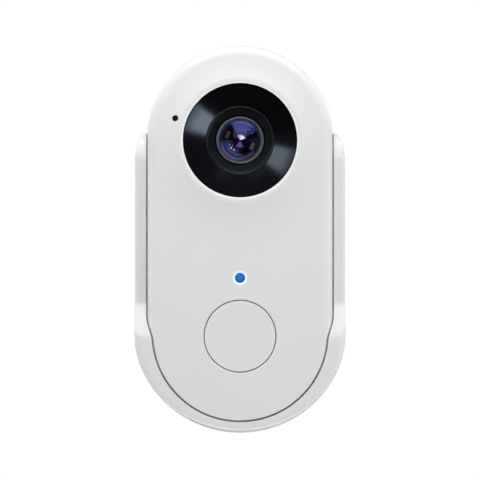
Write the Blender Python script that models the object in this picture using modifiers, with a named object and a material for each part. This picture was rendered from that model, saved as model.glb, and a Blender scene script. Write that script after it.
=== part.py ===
"""Battery video doorbell held in a U-shaped wall cradle, as separate pieces.

Everything is drawn on the wall plane: x to the right, y up, z out of the wall
towards the visitor. One empty turns that drawing frame upright, so that world
+Z is up, world -Y faces the visitor and the wall is the plane y = 0.
"""
import math

import bmesh
import bpy
from mathutils import Matrix, Vector

MM = 0.001
PART_NAME = "video_doorbell"

# ---- gaps --------------------------------------------------------------
SEAT_GAP = 0.3 * MM          # between two pieces that rest on each other
SLIDE_GAP = 0.35 * MM        # body in its cradle

# ---- outline of the body -----------------------------------------------
BODY_RADIUS = 28.7 * MM      # half the width, and radius of both ends
ARC_SPACING = 60.6 * MM      # between the centres of the two ends
UPPER_ARC = ARC_SPACING / 2
LOWER_ARC = -ARC_SPACING / 2
EDGE_RADIUS = 3.0 * MM       # round between face and side wall
ARC_STEPS = 20               # facets in each half circle of the outline
SIDE_STEPS = 7

# ---- cradle depth ------------------------------------------------------
PAD_THICKNESS = 1.0 * MM
PAD_PROUD = 0.5 * MM         # the foam tape stands this far out of the plate
PLATE_THICKNESS = 3.0 * MM
PLATE_BACK = PAD_PROUD
PLATE_FRONT = PLATE_BACK + PLATE_THICKNESS

# ---- what fills the body's depth, from the rear cover to the face ------
WALL = 2.0 * MM
BOARD_THICKNESS = 1.0 * MM
CELL_RADIUS = 9.2 * MM
FRAME_PLATE = 0.8 * MM       # front wall of the battery frame
SWITCH_ROOM = 2.9 * MM       # between the main board and the face's wall
CELL_STACK = (2 * CELL_RADIUS + FRAME_PLATE + BOARD_THICKNESS + 3 * SEAT_GAP
              + SWITCH_ROOM + WALL)
CAMERA_BOARD_RAISE = 2.7 * MM
FILTER_ROOM = 4.3 * MM       # the filter changer, between sensor board and barrel
BARREL_LENGTH = 12.1 * MM
FUNNEL_DEPTH = 4.8 * MM
CAMERA_STACK = (CAMERA_BOARD_RAISE + BOARD_THICKNESS + SEAT_GAP + FILTER_ROOM
                + BARREL_LENGTH + FUNNEL_DEPTH)

# ---- body depth --------------------------------------------------------
BODY_BACK = PLATE_FRONT + 0.4 * MM
BODY_DEPTH = WALL + max(CELL_STACK, CAMERA_STACK)
FACE = BODY_BACK + BODY_DEPTH
FACE_INSIDE = FACE - WALL
COVER_INSIDE = BODY_BACK + WALL
COVER_HEIGHT = 4.8 * MM      # side wall of the rear cover
SPLIT = BODY_BACK + COVER_HEIGHT + SEAT_GAP
LEDGE_WIDTH = 1.8 * MM       # flange that squeezes the gasket
LEDGE_HEIGHT = 1.6 * MM
SEAL_WIDTH = 1.2 * MM
SEAL_HEIGHT = 1.4 * MM
SEAL_BACK = SPLIT - 1.1 * MM

# ---- camera ------------------------------------------------------------
LENS_DROP = 0.6 * MM         # lens centre below the centre of the upper end
LENS_UP = UPPER_ARC - LENS_DROP
LENS_CENTRE = (0, LENS_UP)
HILL_HEIGHT = 1.2 * MM       # raised field round the camera
HILL_RADIUS = 34.0 * MM
OPENING_RADIUS = 18.0 * MM
RING_OUTER = OPENING_RADIUS + 1.5 * MM     # sloping ring round the black funnel
RING_DROP = 0.25 * MM        # the ring's inner edge below its outer edge
LEDGE_RADIUS = OPENING_RADIUS - 2.0 * MM   # the funnel's seat inside the opening
FUNNEL_RIM = FACE - 1.0 * MM
FUNNEL_SEAT = FACE - 3.3 * MM
COLLAR_BACK = FUNNEL_SEAT - 1.5 * MM
FUNNEL_FLOOR = FACE - FUNNEL_DEPTH
FUNNEL_FLOOR_RADIUS = 10.2 * MM
BARREL_HEAD = 7.4 * MM
BARREL_RADIUS = 6.0 * MM
FRONT_GLASS_RADIUS = 6.55 * MM
FRONT_GLASS_SAG = 2.2 * MM
LED_RING_RADIUS = 11.6 * MM
LED_BOARD_RADIUS = LEDGE_RADIUS - 1.4 * MM
LED_BOARD_OPEN = 32          # degrees below level where the C-shaped board ends
LED_SPREAD = 15              # degrees below level of the lowest two lights
LED_COUNT = 4
LENS_STEPS = 24

# ---- call button -------------------------------------------------------
BUTTON_DROP = 0.8 * MM       # button centre below the centre of the lower end
BUTTON_UP = LOWER_ARC - BUTTON_DROP
BUTTON_RADIUS = 11.0 * MM
BUTTON_GAP = 0.3 * MM
BUTTON_FLANGE = 1.4 * MM
FLANGE_THICKNESS = 0.7 * MM  # under the face, on the button and the light pipe
BUTTON_WALL = 1.4 * MM
BUTTON_PLATE = 1.1 * MM      # thickness of the button's top
STEM_RADIUS = 1.8 * MM
BUTTON_TRAVEL = 0.5 * MM
BUTTON_SINK = 0.05 * MM

# ---- status light and microphone ---------------------------------------
LIGHT_UP = BUTTON_UP + BUTTON_RADIUS + 7.1 * MM
LIGHT_RADIUS = 1.5 * MM
MIC_ACROSS = -20.1 * MM
MIC_UP = UPPER_ARC + 6.2 * MM
MIC_HOLE_RADIUS = 0.95 * MM
MIC_RADIUS = 1.75 * MM
MIC_BOOT_RADIUS = 2.5 * MM

# ---- boards ------------------------------------------------------------
MAIN_BOARD_FRONT = FACE_INSIDE - SWITCH_ROOM
MAIN_BOARD_TOP = LIGHT_UP + 22.0 * MM
MAIN_BOARD_END_RADIUS = BODY_RADIUS - WALL - 3.7 * MM
ON_MAIN_BOARD = MAIN_BOARD_FRONT + SEAT_GAP
CAMERA_BOARD_BACK = COVER_INSIDE + CAMERA_BOARD_RAISE
ON_CAMERA_BOARD = CAMERA_BOARD_BACK + BOARD_THICKNESS + SEAT_GAP
CHARGE_BOARD_BACK = SPLIT + 2.5 * MM

# ---- battery -----------------------------------------------------------
CELL_LENGTH = 65.0 * MM
CELL_BOTTOM = LOWER_ARC - 15.1 * MM
CELL_GAP = 0.6 * MM
CELL_BACK = COVER_INSIDE + SEAT_GAP
FRAME_WALL = 0.7 * MM
FRAME_HALF_WIDTH = 2 * CELL_RADIUS + CELL_GAP / 2 + SEAT_GAP + FRAME_WALL
CONTACT = 0.4 * MM

# ---- screws ------------------------------------------------------------
CASE_BOSS_RADIUS = 2.3 * MM
CASE_SCREW_ACROSS = (max(FRAME_HALF_WIDTH + SEAT_GAP, RING_OUTER + 0.5 * MM)
                     + CASE_BOSS_RADIUS)
CASE_SCREW_UP = UPPER_ARC - 4.3 * MM
CASE_SCREW_HEAD = 1.9 * MM
CASE_SCREW_SHANK = 1.0 * MM
CASE_SCREW_LENGTH = 11.0 * MM
MAIN_BOARD_HALF_WIDTH = CASE_SCREW_ACROSS - CASE_BOSS_RADIUS - 0.4 * MM
SMALL_SCREW_HEAD = 1.7 * MM
SMALL_SCREW_SHANK = 0.8 * MM
SCREW_GAP = 0.3 * MM
CAMERA_SCREW_ACROSS = 8.9 * MM
CAMERA_SCREW_RISE = 15.3 * MM
BOARD_SCREW_ACROSS = 9.0 * MM
BOARD_SCREW_UP = LOWER_ARC - 19.1 * MM

# ---- rear controls under the rubber flap --------------------------------
PORT_UP = LOWER_ARC - (BODY_RADIUS - WALL - 6.5 * MM)
FLAP_TOP = PORT_UP + 4.1 * MM
FLAP_BOTTOM = PORT_UP - 4.1 * MM
FLAP_THICKNESS = 0.9 * MM
POCKET_DEPTH = 1.2 * MM
POCKET_FLOOR = BODY_BACK + POCKET_DEPTH
KEY_ACROSS = 8.4 * MM        # switch on the left, reset key on the right
FLAP_HALF_WIDTH = KEY_ACROSS + 2.6 * MM
SWITCH_TRAVEL = 2.0 * MM
KNOB_HALF_WIDTH = 0.9 * MM
KNOB_HALF_HEIGHT = 0.8 * MM
RESET_TRAVEL = 0.4 * MM
RESET_KEY_RADIUS = 1.3 * MM
USB_HALF_WIDTH = 4.5 * MM
USB_HALF_HEIGHT = 1.65 * MM
USB_WALL = 0.3 * MM

# ---- sound slots in the left side wall ----------------------------------
SLOT_PITCH = 2.6 * MM
SLOT_WIDTH = 1.2 * MM
SPEAKER_UP = -15.0 * MM
SPEAKER_SLOTS = 6
VENT_UP = 10.2 * MM
VENT_SLOTS = 3
SLOT_BACK = FACE - 12.9 * MM
SLOT_FRONT = FACE - 4.4 * MM

# ---- cradle ------------------------------------------------------------
CRADLE_HALF_WIDTH = BODY_RADIUS + SLIDE_GAP + 3.45 * MM
CUP_DROP = BODY_RADIUS + SLIDE_GAP + 2.01 * MM   # lowest point below the lower end's centre
CUP_FRONT = FACE - 0.1 * MM
ARM_FRONT = FACE - 5.4 * MM
ARM_TOP = UPPER_ARC + 1.6 * MM
ARM_TIP_HEIGHT = 8.4 * MM
ARM_TIP_DEPTH = 8.0 * MM
CUP_BLEND_TOP = LOWER_ARC + 9.1 * MM
CUP_BLEND_BOTTOM = LOWER_ARC - 2.2 * MM
RAIL_BACK = BODY_BACK + 9.1 * MM
RAIL_THICKNESS = 2.0 * MM
RAIL_HEIGHT = 1.1 * MM
RAIL_BOTTOM = LOWER_ARC + 12.3 * MM
RAIL_TOP = UPPER_ARC - 2.3 * MM
WALL_SCREW_UPS = (UPPER_ARC - 10.3 * MM, LOWER_ARC + 0.3 * MM)
WALL_SCREW_HOLE = 2.2 * MM
WALL_SCREW_SINK = 4.4 * MM
WINDOW_HALF_WIDTH = FLAP_HALF_WIDTH + 1.5 * MM
WINDOW_TOP = FLAP_TOP + 1.4 * MM
WINDOW_BOTTOM = FLAP_BOTTOM - 1.4 * MM
PAD_HALF_WIDTH = BODY_RADIUS - 3.7 * MM
PAD_TOP = UPPER_ARC - 3.3 * MM
PAD_BOTTOM = WINDOW_TOP + 5.0 * MM
DRAIN_ACROSS = 9.0 * MM
DRAIN_RADIUS = 1.2 * MM


# ======================================================================
# scene, materials and basic solids
# ======================================================================
def clear_scene():
    for item in list(bpy.data.objects):
        bpy.data.objects.remove(item, do_unlink=True)


clear_scene()
PARTS = bpy.data.collections.new(PART_NAME)
CUTTERS = bpy.data.collections.new("cutters")
for group in (PARTS, CUTTERS):
    bpy.context.scene.collection.children.link(group)

WALL_FRAME = bpy.data.objects.new("wall_frame", None)
WALL_FRAME.rotation_euler = (math.pi / 2, 0, 0)
PARTS.objects.link(WALL_FRAME)


def material(name, colour, roughness, metallic=0.0):
    made = bpy.data.materials.get(name)
    if made:
        return made
    made = bpy.data.materials.new(name)
    made.use_nodes = True
    shader = made.node_tree.nodes["Principled BSDF"]
    shader.inputs["Base Color"].default_value = (*colour, 1.0)
    shader.inputs["Roughness"].default_value = roughness
    shader.inputs["Metallic"].default_value = metallic
    made.diffuse_color = (*colour, 1.0)
    return made


FINISHES = {
    "white_plastic": ((0.86, 0.86, 0.86), 0.28, 0.0),
    "black_gloss": ((0.01, 0.01, 0.012), 0.12, 0.0),
    "black_plastic": ((0.03, 0.03, 0.03), 0.55, 0.0),
    "dark_metal": ((0.10, 0.10, 0.11), 0.35, 0.9),
    "bright_metal": ((0.55, 0.56, 0.58), 0.3, 1.0),
    "glass": ((0.05, 0.06, 0.12), 0.03, 0.0),
    "filter_glass": ((0.25, 0.45, 0.5), 0.05, 0.0),
    "blue_light": ((0.01, 0.16, 0.68), 0.3, 0.0),
    "grey_rubber": ((0.12, 0.12, 0.13), 0.8, 0.0),
    "white_rubber": ((0.7, 0.7, 0.7), 0.7, 0.0),
    "circuit_board": ((0.02, 0.12, 0.06), 0.45, 0.0),
    "cell_wrap": ((0.05, 0.16, 0.42), 0.4, 0.0),
    "foam": ((0.05, 0.05, 0.05), 0.95, 0.0),
    "amber_film": ((0.5, 0.26, 0.05), 0.35, 0.0),
}


def finish(name):
    return material(name, *FINISHES[name])


def add(name, mesh, finish_name=None, place=(0, 0, 0)):
    """Link a mesh as a piece, or as a cutter when it has no finish."""
    item = bpy.data.objects.new(name, mesh)
    item.parent = WALL_FRAME
    item.location = place
    if finish_name is None:
        CUTTERS.objects.link(item)
        item.hide_render = True
        item.display_type = "WIRE"
    else:
        PARTS.objects.link(item)
        mesh.materials.append(finish(finish_name))
    return item


def mesh_from(bm, name, smooth=True):
    mesh = bpy.data.meshes.new(name)
    bm.to_mesh(mesh)
    bm.free()
    if smooth:
        mesh.shade_smooth()
        mesh.set_sharp_from_angle(angle=math.radians(35))
    return mesh


def box(name, low, high, finish_name=None):
    low = Vector(low)
    high = Vector(high)
    bm = bmesh.new()
    bmesh.ops.create_cube(bm, size=1.0)
    bmesh.ops.scale(bm, vec=high - low, verts=bm.verts)
    bmesh.ops.translate(bm, vec=(low + high) / 2, verts=bm.verts)
    return add(name, mesh_from(bm, name, smooth=False), finish_name)


def cylinder(name, centre, radius, back, front, finish_name=None, steps=16):
    """A cylinder that stands out of the wall at centre = (x, y).

    It is turned by half a facet, so that no corner lies on a plane of symmetry.
    """
    bm = bmesh.new()
    middle = Matrix.Translation((0, 0, (front + back) / 2))
    bmesh.ops.create_cone(
        bm, cap_ends=True, segments=steps, radius1=radius, radius2=radius,
        depth=front - back, matrix=middle @ Matrix.Rotation(math.pi / steps, 4, "Z"))
    return add(name, mesh_from(bm, name), finish_name, (*centre, 0))


def turned(name, centre, profile, finish_name=None, steps=16, ring=False):
    """A turned piece on an axis out of the wall at centre = (x, y).

    The profile is (radius, depth) points that run down the outer side. A ring
    has a closed profile that doesn't touch the axis.
    """
    mesh = bpy.data.meshes.new(name)
    count = len(profile)
    edges = [(i, i + 1) for i in range(count - 1)]
    if ring:
        edges.append((count - 1, 0))
    mesh.from_pydata([(radius, 0, depth) for radius, depth in profile], edges, [])
    item = add(name, mesh, finish_name, (*centre, 0))
    screw = item.modifiers.new("turn", "SCREW")
    screw.axis = "Z"
    screw.angle = 2 * math.pi
    screw.steps = steps
    screw.render_steps = steps
    screw.use_merge_vertices = True
    screw.merge_threshold = 1e-6
    screw.use_smooth_shade = True
    return item


def outline_mesh(name, outlines, back, front):
    """Solid between two depths inside closed outlines; inner ones are holes."""
    curve = bpy.data.curves.new(name, "CURVE")
    curve.dimensions = "2D"
    curve.fill_mode = "BOTH"
    curve.extrude = (front - back) / 2
    for outline in outlines:
        spline = curve.splines.new("POLY")
        spline.points.add(len(outline) - 1)
        for point, (across, up) in zip(spline.points, outline):
            point.co = (across, up, 0, 1)
        spline.use_cyclic_u = True
    holder = bpy.data.objects.new(name, curve)
    holder.location = (0, 0, (front + back) / 2)
    CUTTERS.objects.link(holder)
    bpy.context.view_layer.update()
    depsgraph = bpy.context.evaluated_depsgraph_get()
    mesh = bpy.data.meshes.new_from_object(holder.evaluated_get(depsgraph))
    mesh.transform(holder.matrix_world)
    bm = bmesh.new()
    bm.from_mesh(mesh)
    bmesh.ops.remove_doubles(bm, verts=bm.verts, dist=1e-6)
    bm.to_mesh(mesh)
    bm.free()
    bpy.data.objects.remove(holder)
    mesh.name = name
    return mesh


def plate(name, outlines, back, front, finish_name=None):
    return add(name, outline_mesh(name, outlines, back, front), finish_name)


def round_edges(item, radius, steps, chosen):
    """Round the edges whose both ends satisfy chosen(x, y, z)."""
    bm = bmesh.new()
    bm.from_mesh(item.data)
    edges = [edge for edge in bm.edges
             if all(chosen(*vert.co) for vert in edge.verts)
             and edge.calc_face_angle(0) > math.radians(40)]
    bmesh.ops.bevel(bm, geom=edges, offset=radius, segments=steps,
                    profile=0.5, affect="EDGES")
    bm.to_mesh(item.data)
    bm.free()


def loft(name, rings, finish_name=None, tube=False):
    """Skin rings of equally many points, capped, or closed into a tube."""
    bm = bmesh.new()
    skins = [[bm.verts.new(point) for point in ring] for ring in rings]
    count = len(skins[0])
    pairs = list(zip(skins, skins[1:]))
    if tube:
        pairs.append((skins[-1], skins[0]))
    for first, second in pairs:
        for i in range(count):
            j = (i + 1) % count
            bm.faces.new((first[i], first[j], second[j], second[i]))
    if not tube:
        bm.faces.new(tuple(reversed(skins[0])))
        bm.faces.new(tuple(skins[-1]))
    bmesh.ops.recalc_face_normals(bm, faces=bm.faces)
    return add(name, mesh_from(bm, name), finish_name)


def change(target, operation, helpers):
    for helper in helpers:
        step = target.modifiers.new(helper.name, "BOOLEAN")
        step.operation = operation
        step.solver = "EXACT"
        step.object = helper


def cut(target, *helpers):
    change(target, "DIFFERENCE", helpers)


def join(target, *helpers):
    change(target, "UNION", helpers)


# ======================================================================
# outlines
# ======================================================================
def arc(centre, radius, first, last, steps):
    """Points on a circle, or on an ellipse when radius is a pair."""
    wide, tall = radius if isinstance(radius, tuple) else (radius, radius)
    points = []
    for i in range(steps + 1):
        angle = math.radians(first + (last - first) * i / steps)
        points.append((centre[0] + wide * math.cos(angle),
                       centre[1] + tall * math.sin(angle)))
    return points


def circle(centre, radius, steps=16):
    return arc(centre, radius, 0, 360, steps)[:-1]


def rounded_box(low, high, radius, steps=4):
    left, bottom = low[0] + radius, low[1] + radius
    right, top = high[0] - radius, high[1] - radius
    return (arc((right, top), radius, 0, 90, steps)
            + arc((left, top), radius, 90, 180, steps)
            + arc((left, bottom), radius, 180, 270, steps)
            + arc((right, bottom), radius, 270, 360, steps))


def side_heights():
    """Heights that divide the straight side evenly as seen from the lens."""
    first = math.atan2(UPPER_ARC - LENS_UP, BODY_RADIUS)
    last = math.atan2(LOWER_ARC - LENS_UP, BODY_RADIUS)
    turns = [first + (last - first) * i / SIDE_STEPS for i in range(1, SIDE_STEPS)]
    return [LENS_UP + BODY_RADIUS * math.tan(turn) for turn in turns]


def body_outline(inset=0.0):
    radius = BODY_RADIUS - inset
    heights = side_heights()
    return (arc((0, UPPER_ARC), radius, 0, 180, ARC_STEPS)
            + [(-radius, height) for height in heights]
            + arc((0, LOWER_ARC), radius, 180, 360, ARC_STEPS)
            + [(radius, height) for height in reversed(heights)])


def lens_point(across, up, distance):
    """The point at a distance from the lens, in the direction of (across, up)."""
    angle = math.atan2(up - LENS_UP, across)
    return (distance * math.cos(angle), LENS_UP + distance * math.sin(angle))


def lens_ring_points(radius):
    """Points round the lens, one in the direction of each outline point."""
    return [lens_point(across, up, radius) for across, up in body_outline()]


def at_depth(points, depth):
    return [(across, up, depth) for across, up in points]


def hill(across, up):
    """Height of the raised field: a cosine slope away from the camera ring."""
    distance = math.hypot(across, up - LENS_UP)
    share = (distance - RING_OUTER) / (HILL_RADIUS - RING_OUTER)
    share = min(max(share, 0.0), 1.0)
    return HILL_HEIGHT * (0.5 + 0.5 * math.cos(math.pi * share))


def on_hill(points):
    return [(across, up, FACE + hill(across, up)) for across, up in points]


def slope_ring(share):
    """Ring part of the way from the camera ring to the edge of the hill."""
    points = []
    for outer, (flat_across, flat_up) in zip(body_outline(), body_outline(EDGE_RADIUS)):
        rim = min(math.hypot(flat_across, flat_up - LENS_UP), HILL_RADIUS)
        points.append(lens_point(*outer, RING_OUTER + share * (rim - RING_OUTER)))
    return on_hill(points)


def edge_ring(degrees):
    """Row of the rounded edge between the face (0) and the side wall (90)."""
    turn = math.radians(degrees)
    outline = body_outline(EDGE_RADIUS * (1 - math.sin(turn)))
    tops = body_outline(EDGE_RADIUS)
    low = FACE - EDGE_RADIUS
    return [(across, up, low + (EDGE_RADIUS + hill(*top)) * math.cos(turn))
            for (across, up), top in zip(outline, tops)]


# ======================================================================
# housing
# ======================================================================
COVER_LEDGE = SEAL_BACK - SEAT_GAP
SHELL_LEDGE = SEAL_BACK + SEAL_HEIGHT + SEAT_GAP
BOSS_MEET = SPLIT + SEAT_GAP
CASE_SCREWS = [(side * CASE_SCREW_ACROSS, end * CASE_SCREW_UP)
               for side in (-1, 1) for end in (-1, 1)]
CAMERA_SCREWS = [(side * CAMERA_SCREW_ACROSS, LENS_UP + CAMERA_SCREW_RISE)
                 for side in (-1, 1)]
BOARD_SCREWS = [(side * BOARD_SCREW_ACROSS, BOARD_SCREW_UP) for side in (-1, 1)]


def sound_slots():
    helpers = []
    for middle, count in ((SPEAKER_UP, SPEAKER_SLOTS), (VENT_UP, VENT_SLOTS)):
        for i in range(count):
            up = middle + (i - (count - 1) / 2) * SLOT_PITCH
            low = (-BODY_RADIUS - 1 * MM, up - SLOT_WIDTH / 2, SLOT_BACK)
            high = (-BODY_RADIUS + WALL + 1 * MM, up + SLOT_WIDTH / 2, SLOT_FRONT)
            helpers.append(box("slot_cutter", low, high))
    return helpers


def make_front_shell():
    inner = WALL + LEDGE_WIDTH
    rings = [
        at_depth(lens_ring_points(OPENING_RADIUS), FACE + HILL_HEIGHT - RING_DROP),
        on_hill(lens_ring_points(RING_OUTER)),
        slope_ring(0.5),
        slope_ring(0.97),
        edge_ring(0), edge_ring(30), edge_ring(60), edge_ring(90),
        at_depth(body_outline(), SPLIT),
        at_depth(body_outline(WALL), SPLIT),
        at_depth(body_outline(WALL), SHELL_LEDGE),
        at_depth(body_outline(inner), SHELL_LEDGE),
        at_depth(body_outline(inner), SHELL_LEDGE + LEDGE_HEIGHT),
        at_depth(body_outline(WALL), SHELL_LEDGE + LEDGE_HEIGHT),
        at_depth(body_outline(WALL), FACE_INSIDE),
        at_depth(lens_ring_points(RING_OUTER), FACE_INSIDE),
        at_depth(lens_ring_points(RING_OUTER), COLLAR_BACK),
        at_depth(lens_ring_points(LEDGE_RADIUS), COLLAR_BACK),
        at_depth(lens_ring_points(LEDGE_RADIUS), FUNNEL_SEAT),
        at_depth(lens_ring_points(OPENING_RADIUS), FUNNEL_SEAT),
    ]
    shell = loft("front_shell", rings, "white_plastic", tube=True)
    into_face = FACE_INSIDE + WALL / 2
    boss_back = BOSS_MEET + SEAT_GAP
    for across, up in CASE_SCREWS:
        side = math.copysign(1, across)
        wall = side * (BODY_RADIUS - WALL / 2)
        boss = cylinder("case_boss", (across, up), CASE_BOSS_RADIUS, boss_back, into_face)
        web = box("boss_web",
                  (min(across, wall), up - 0.6 * MM, boss_back + 2.4 * MM),
                  (max(across, wall), up + 0.6 * MM, into_face))
        join(shell, boss, web)
    for place in CAMERA_SCREWS:
        join(shell, cylinder("camera_post", place, 2.0 * MM,
                             ON_CAMERA_BOARD, COLLAR_BACK + 0.7 * MM, steps=12))
    for place in BOARD_SCREWS:
        join(shell, cylinder("board_post", place, 1.8 * MM,
                             ON_MAIN_BOARD, into_face, steps=12))
    mic = (MIC_ACROSS, MIC_UP)
    collar = cylinder("mic_collar", mic, MIC_BOOT_RADIUS + 1.1 * MM,
                      COLLAR_BACK + 0.1 * MM, into_face)
    cut(collar, cylinder("collar_trim", LENS_CENTRE, OPENING_RADIUS + 0.6 * MM,
                         COLLAR_BACK - MM, FACE, steps=40))
    join(shell, collar)
    cut(shell, cylinder("mic_pocket", mic, MIC_BOOT_RADIUS + SEAT_GAP,
                        COLLAR_BACK - 2 * MM, FACE_INSIDE))
    cut(shell, cylinder("mic_hole", mic, MIC_HOLE_RADIUS,
                        FACE_INSIDE - MM, FACE + 3 * MM, steps=12))
    cut(shell, cylinder("button_hole", (0, BUTTON_UP), BUTTON_RADIUS + BUTTON_GAP,
                        FACE_INSIDE - MM, FACE + MM, steps=36))
    cut(shell, cylinder("light_hole", (0, LIGHT_UP), LIGHT_RADIUS + SEAT_GAP,
                        FACE_INSIDE - MM, FACE + MM))
    for place in CASE_SCREWS:
        cut(shell, cylinder("case_screw_hole", place, CASE_SCREW_SHANK + SCREW_GAP,
                            SPLIT - MM, boss_back + 7 * MM, steps=12))
    for place in CAMERA_SCREWS:
        cut(shell, cylinder("camera_screw_hole", place, SMALL_SCREW_SHANK + SCREW_GAP,
                            ON_CAMERA_BOARD - MM, ON_CAMERA_BOARD + 6 * MM, steps=12))
    for place in BOARD_SCREWS:
        cut(shell, cylinder("board_screw_hole", place, SMALL_SCREW_SHANK + SCREW_GAP,
                            ON_MAIN_BOARD - MM, FACE_INSIDE, steps=12))
    cut(shell, *sound_slots())
    for side in (-1, 1):
        groove_floor = side * (BODY_RADIUS - RAIL_HEIGHT)
        outside = side * (BODY_RADIUS + MM)
        cut(shell, box("rail_groove",
                       (min(groove_floor, outside), LOWER_ARC - BODY_RADIUS,
                        RAIL_BACK - SLIDE_GAP),
                       (max(groove_floor, outside), RAIL_TOP + 2 * SLIDE_GAP,
                        RAIL_BACK + RAIL_THICKNESS + SLIDE_GAP)))
    return shell


def usb_outline(grow):
    """Outline of the charging socket, grown all round."""
    wide, tall = USB_HALF_WIDTH + grow, USB_HALF_HEIGHT + grow
    return rounded_box((-wide, PORT_UP - tall), (wide, PORT_UP + tall), tall - 0.05 * MM)


def make_rear_cover():
    top = BODY_BACK + COVER_HEIGHT
    cover = plate("rear_cover", [body_outline()], BODY_BACK, top, "white_plastic")
    round_edges(cover, 1.2 * MM, 2, lambda x, y, z: z < BODY_BACK + 1e-5)
    inner = WALL + LEDGE_WIDTH
    cut(cover, plate("cover_hollow", [body_outline(inner)], COVER_INSIDE, top + MM))
    cut(cover, plate("cover_ledge", [body_outline(WALL)], COVER_LEDGE, top + MM))
    into_floor = COVER_INSIDE - 0.4 * MM
    for place in CASE_SCREWS:
        join(cover, cylinder("cover_boss", place, CASE_BOSS_RADIUS, into_floor, BOSS_MEET))
    for side in (-1, 1):
        place = (side * 13.0 * MM, PORT_UP + 1.6 * MM)
        join(cover, cylinder("charge_post", place, MM, into_floor,
                             CHARGE_BOARD_BACK - SEAT_GAP, steps=12))
    seat = BODY_BACK + 1.6 * MM
    sink = CASE_SCREW_HEAD + SCREW_GAP
    hole = CASE_SCREW_SHANK + SCREW_GAP
    for place in CASE_SCREWS:
        profile = [(0, BOSS_MEET + MM), (hole, BOSS_MEET + MM), (hole, seat),
                   (sink, seat), (sink, BODY_BACK - MM), (0, BODY_BACK - MM)]
        cut(cover, turned("cover_screw_hole", place, profile))
    gap = SEAT_GAP
    pocket = rounded_box((-FLAP_HALF_WIDTH - gap, FLAP_BOTTOM - gap),
                         (FLAP_HALF_WIDTH + gap, FLAP_TOP + gap), 2 * MM)
    cut(cover, plate("pocket_cutter", [pocket], BODY_BACK - MM, POCKET_FLOOR))
    mouth = usb_outline(SEAT_GAP)
    cut(cover, plate("mouth_cutter", [mouth], BODY_BACK, COVER_INSIDE + MM))
    slot = KNOB_HALF_WIDTH + SWITCH_TRAVEL / 2 + 0.6 * MM
    slot_height = KNOB_HALF_HEIGHT + SEAT_GAP
    cut(cover, box("knob_slot",
                   (-KEY_ACROSS - slot, PORT_UP - slot_height, BODY_BACK),
                   (-KEY_ACROSS + slot, PORT_UP + slot_height, COVER_INSIDE + MM)))
    cut(cover, cylinder("reset_hole", (KEY_ACROSS, PORT_UP), RESET_KEY_RADIUS + SEAT_GAP,
                        BODY_BACK, COVER_INSIDE + MM))
    return cover


def make_case_seal():
    outer = WALL + SEAT_GAP
    return plate("case_seal", [body_outline(outer), body_outline(outer + SEAL_WIDTH)],
                 SEAL_BACK, SEAL_BACK + SEAL_HEIGHT, "grey_rubber")


def make_case_screws():
    head_back = BODY_BACK + 0.2 * MM
    head_front = BODY_BACK + 1.3 * MM
    end = head_front + CASE_SCREW_LENGTH
    for number, place in enumerate(CASE_SCREWS, 1):
        profile = [(0, end), (CASE_SCREW_SHANK, end), (CASE_SCREW_SHANK, head_front),
                   (CASE_SCREW_HEAD, head_front), (CASE_SCREW_HEAD, head_back),
                   (0, head_back)]
        turned(f"case_screw_{number}", place, profile, "dark_metal", steps=12)


# ======================================================================
# camera
# ======================================================================
BARREL_TOP = FUNNEL_FLOOR + SEAT_GAP
BARREL_SHOULDER = FUNNEL_FLOOR - 4.1 * MM
BARREL_END = FUNNEL_FLOOR - BARREL_LENGTH
HOLDER_TOP = BARREL_SHOULDER - 0.6 * MM
HOLDER_ROOF = BARREL_END + 0.9 * MM
LED_BOARD_BACK = HOLDER_TOP + SEAT_GAP


def make_camera_bezel():
    profile = [
        (OPENING_RADIUS - 0.6 * MM, FUNNEL_RIM),
        (OPENING_RADIUS - SEAT_GAP, FUNNEL_RIM),
        (OPENING_RADIUS - SEAT_GAP, FUNNEL_SEAT + SEAT_GAP),
        (LEDGE_RADIUS - SEAT_GAP, FUNNEL_SEAT + SEAT_GAP),
        (LEDGE_RADIUS - SEAT_GAP, FUNNEL_SEAT - 0.2 * MM),
        (10.8 * MM, FUNNEL_FLOOR - 1.2 * MM),
        (BARREL_HEAD + SEAT_GAP, FUNNEL_FLOOR - 1.2 * MM),
        (BARREL_HEAD + SEAT_GAP, FUNNEL_FLOOR),
        (FUNNEL_FLOOR_RADIUS, FUNNEL_FLOOR),
        (FUNNEL_FLOOR_RADIUS, FUNNEL_FLOOR + 0.2 * MM),
    ]
    turned("camera_bezel", LENS_CENTRE, profile, "black_gloss", steps=40, ring=True)


def dome(radius, sag, steps=4):
    """(radius, height) points of a spherical cap, from its middle to its rim."""
    ball = (radius ** 2 + sag ** 2) / (2 * abs(sag))
    points = []
    for i in range(steps + 1):
        reach = radius * i / steps
        height = math.sqrt(ball ** 2 - reach ** 2) - (ball - abs(sag))
        points.append((reach, math.copysign(height, sag)))
    points[-1] = (radius, 0.0)
    return points


def make_lens(name, radius, back, front, front_sag, back_sag):
    front_side = [(reach, front + height) for reach, height in dome(radius, front_sag)]
    back_side = [(reach, back - height) for reach, height in dome(radius, back_sag)]
    profile = front_side + list(reversed(back_side))
    return turned(name, LENS_CENTRE, profile, "glass", steps=LENS_STEPS)


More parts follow.
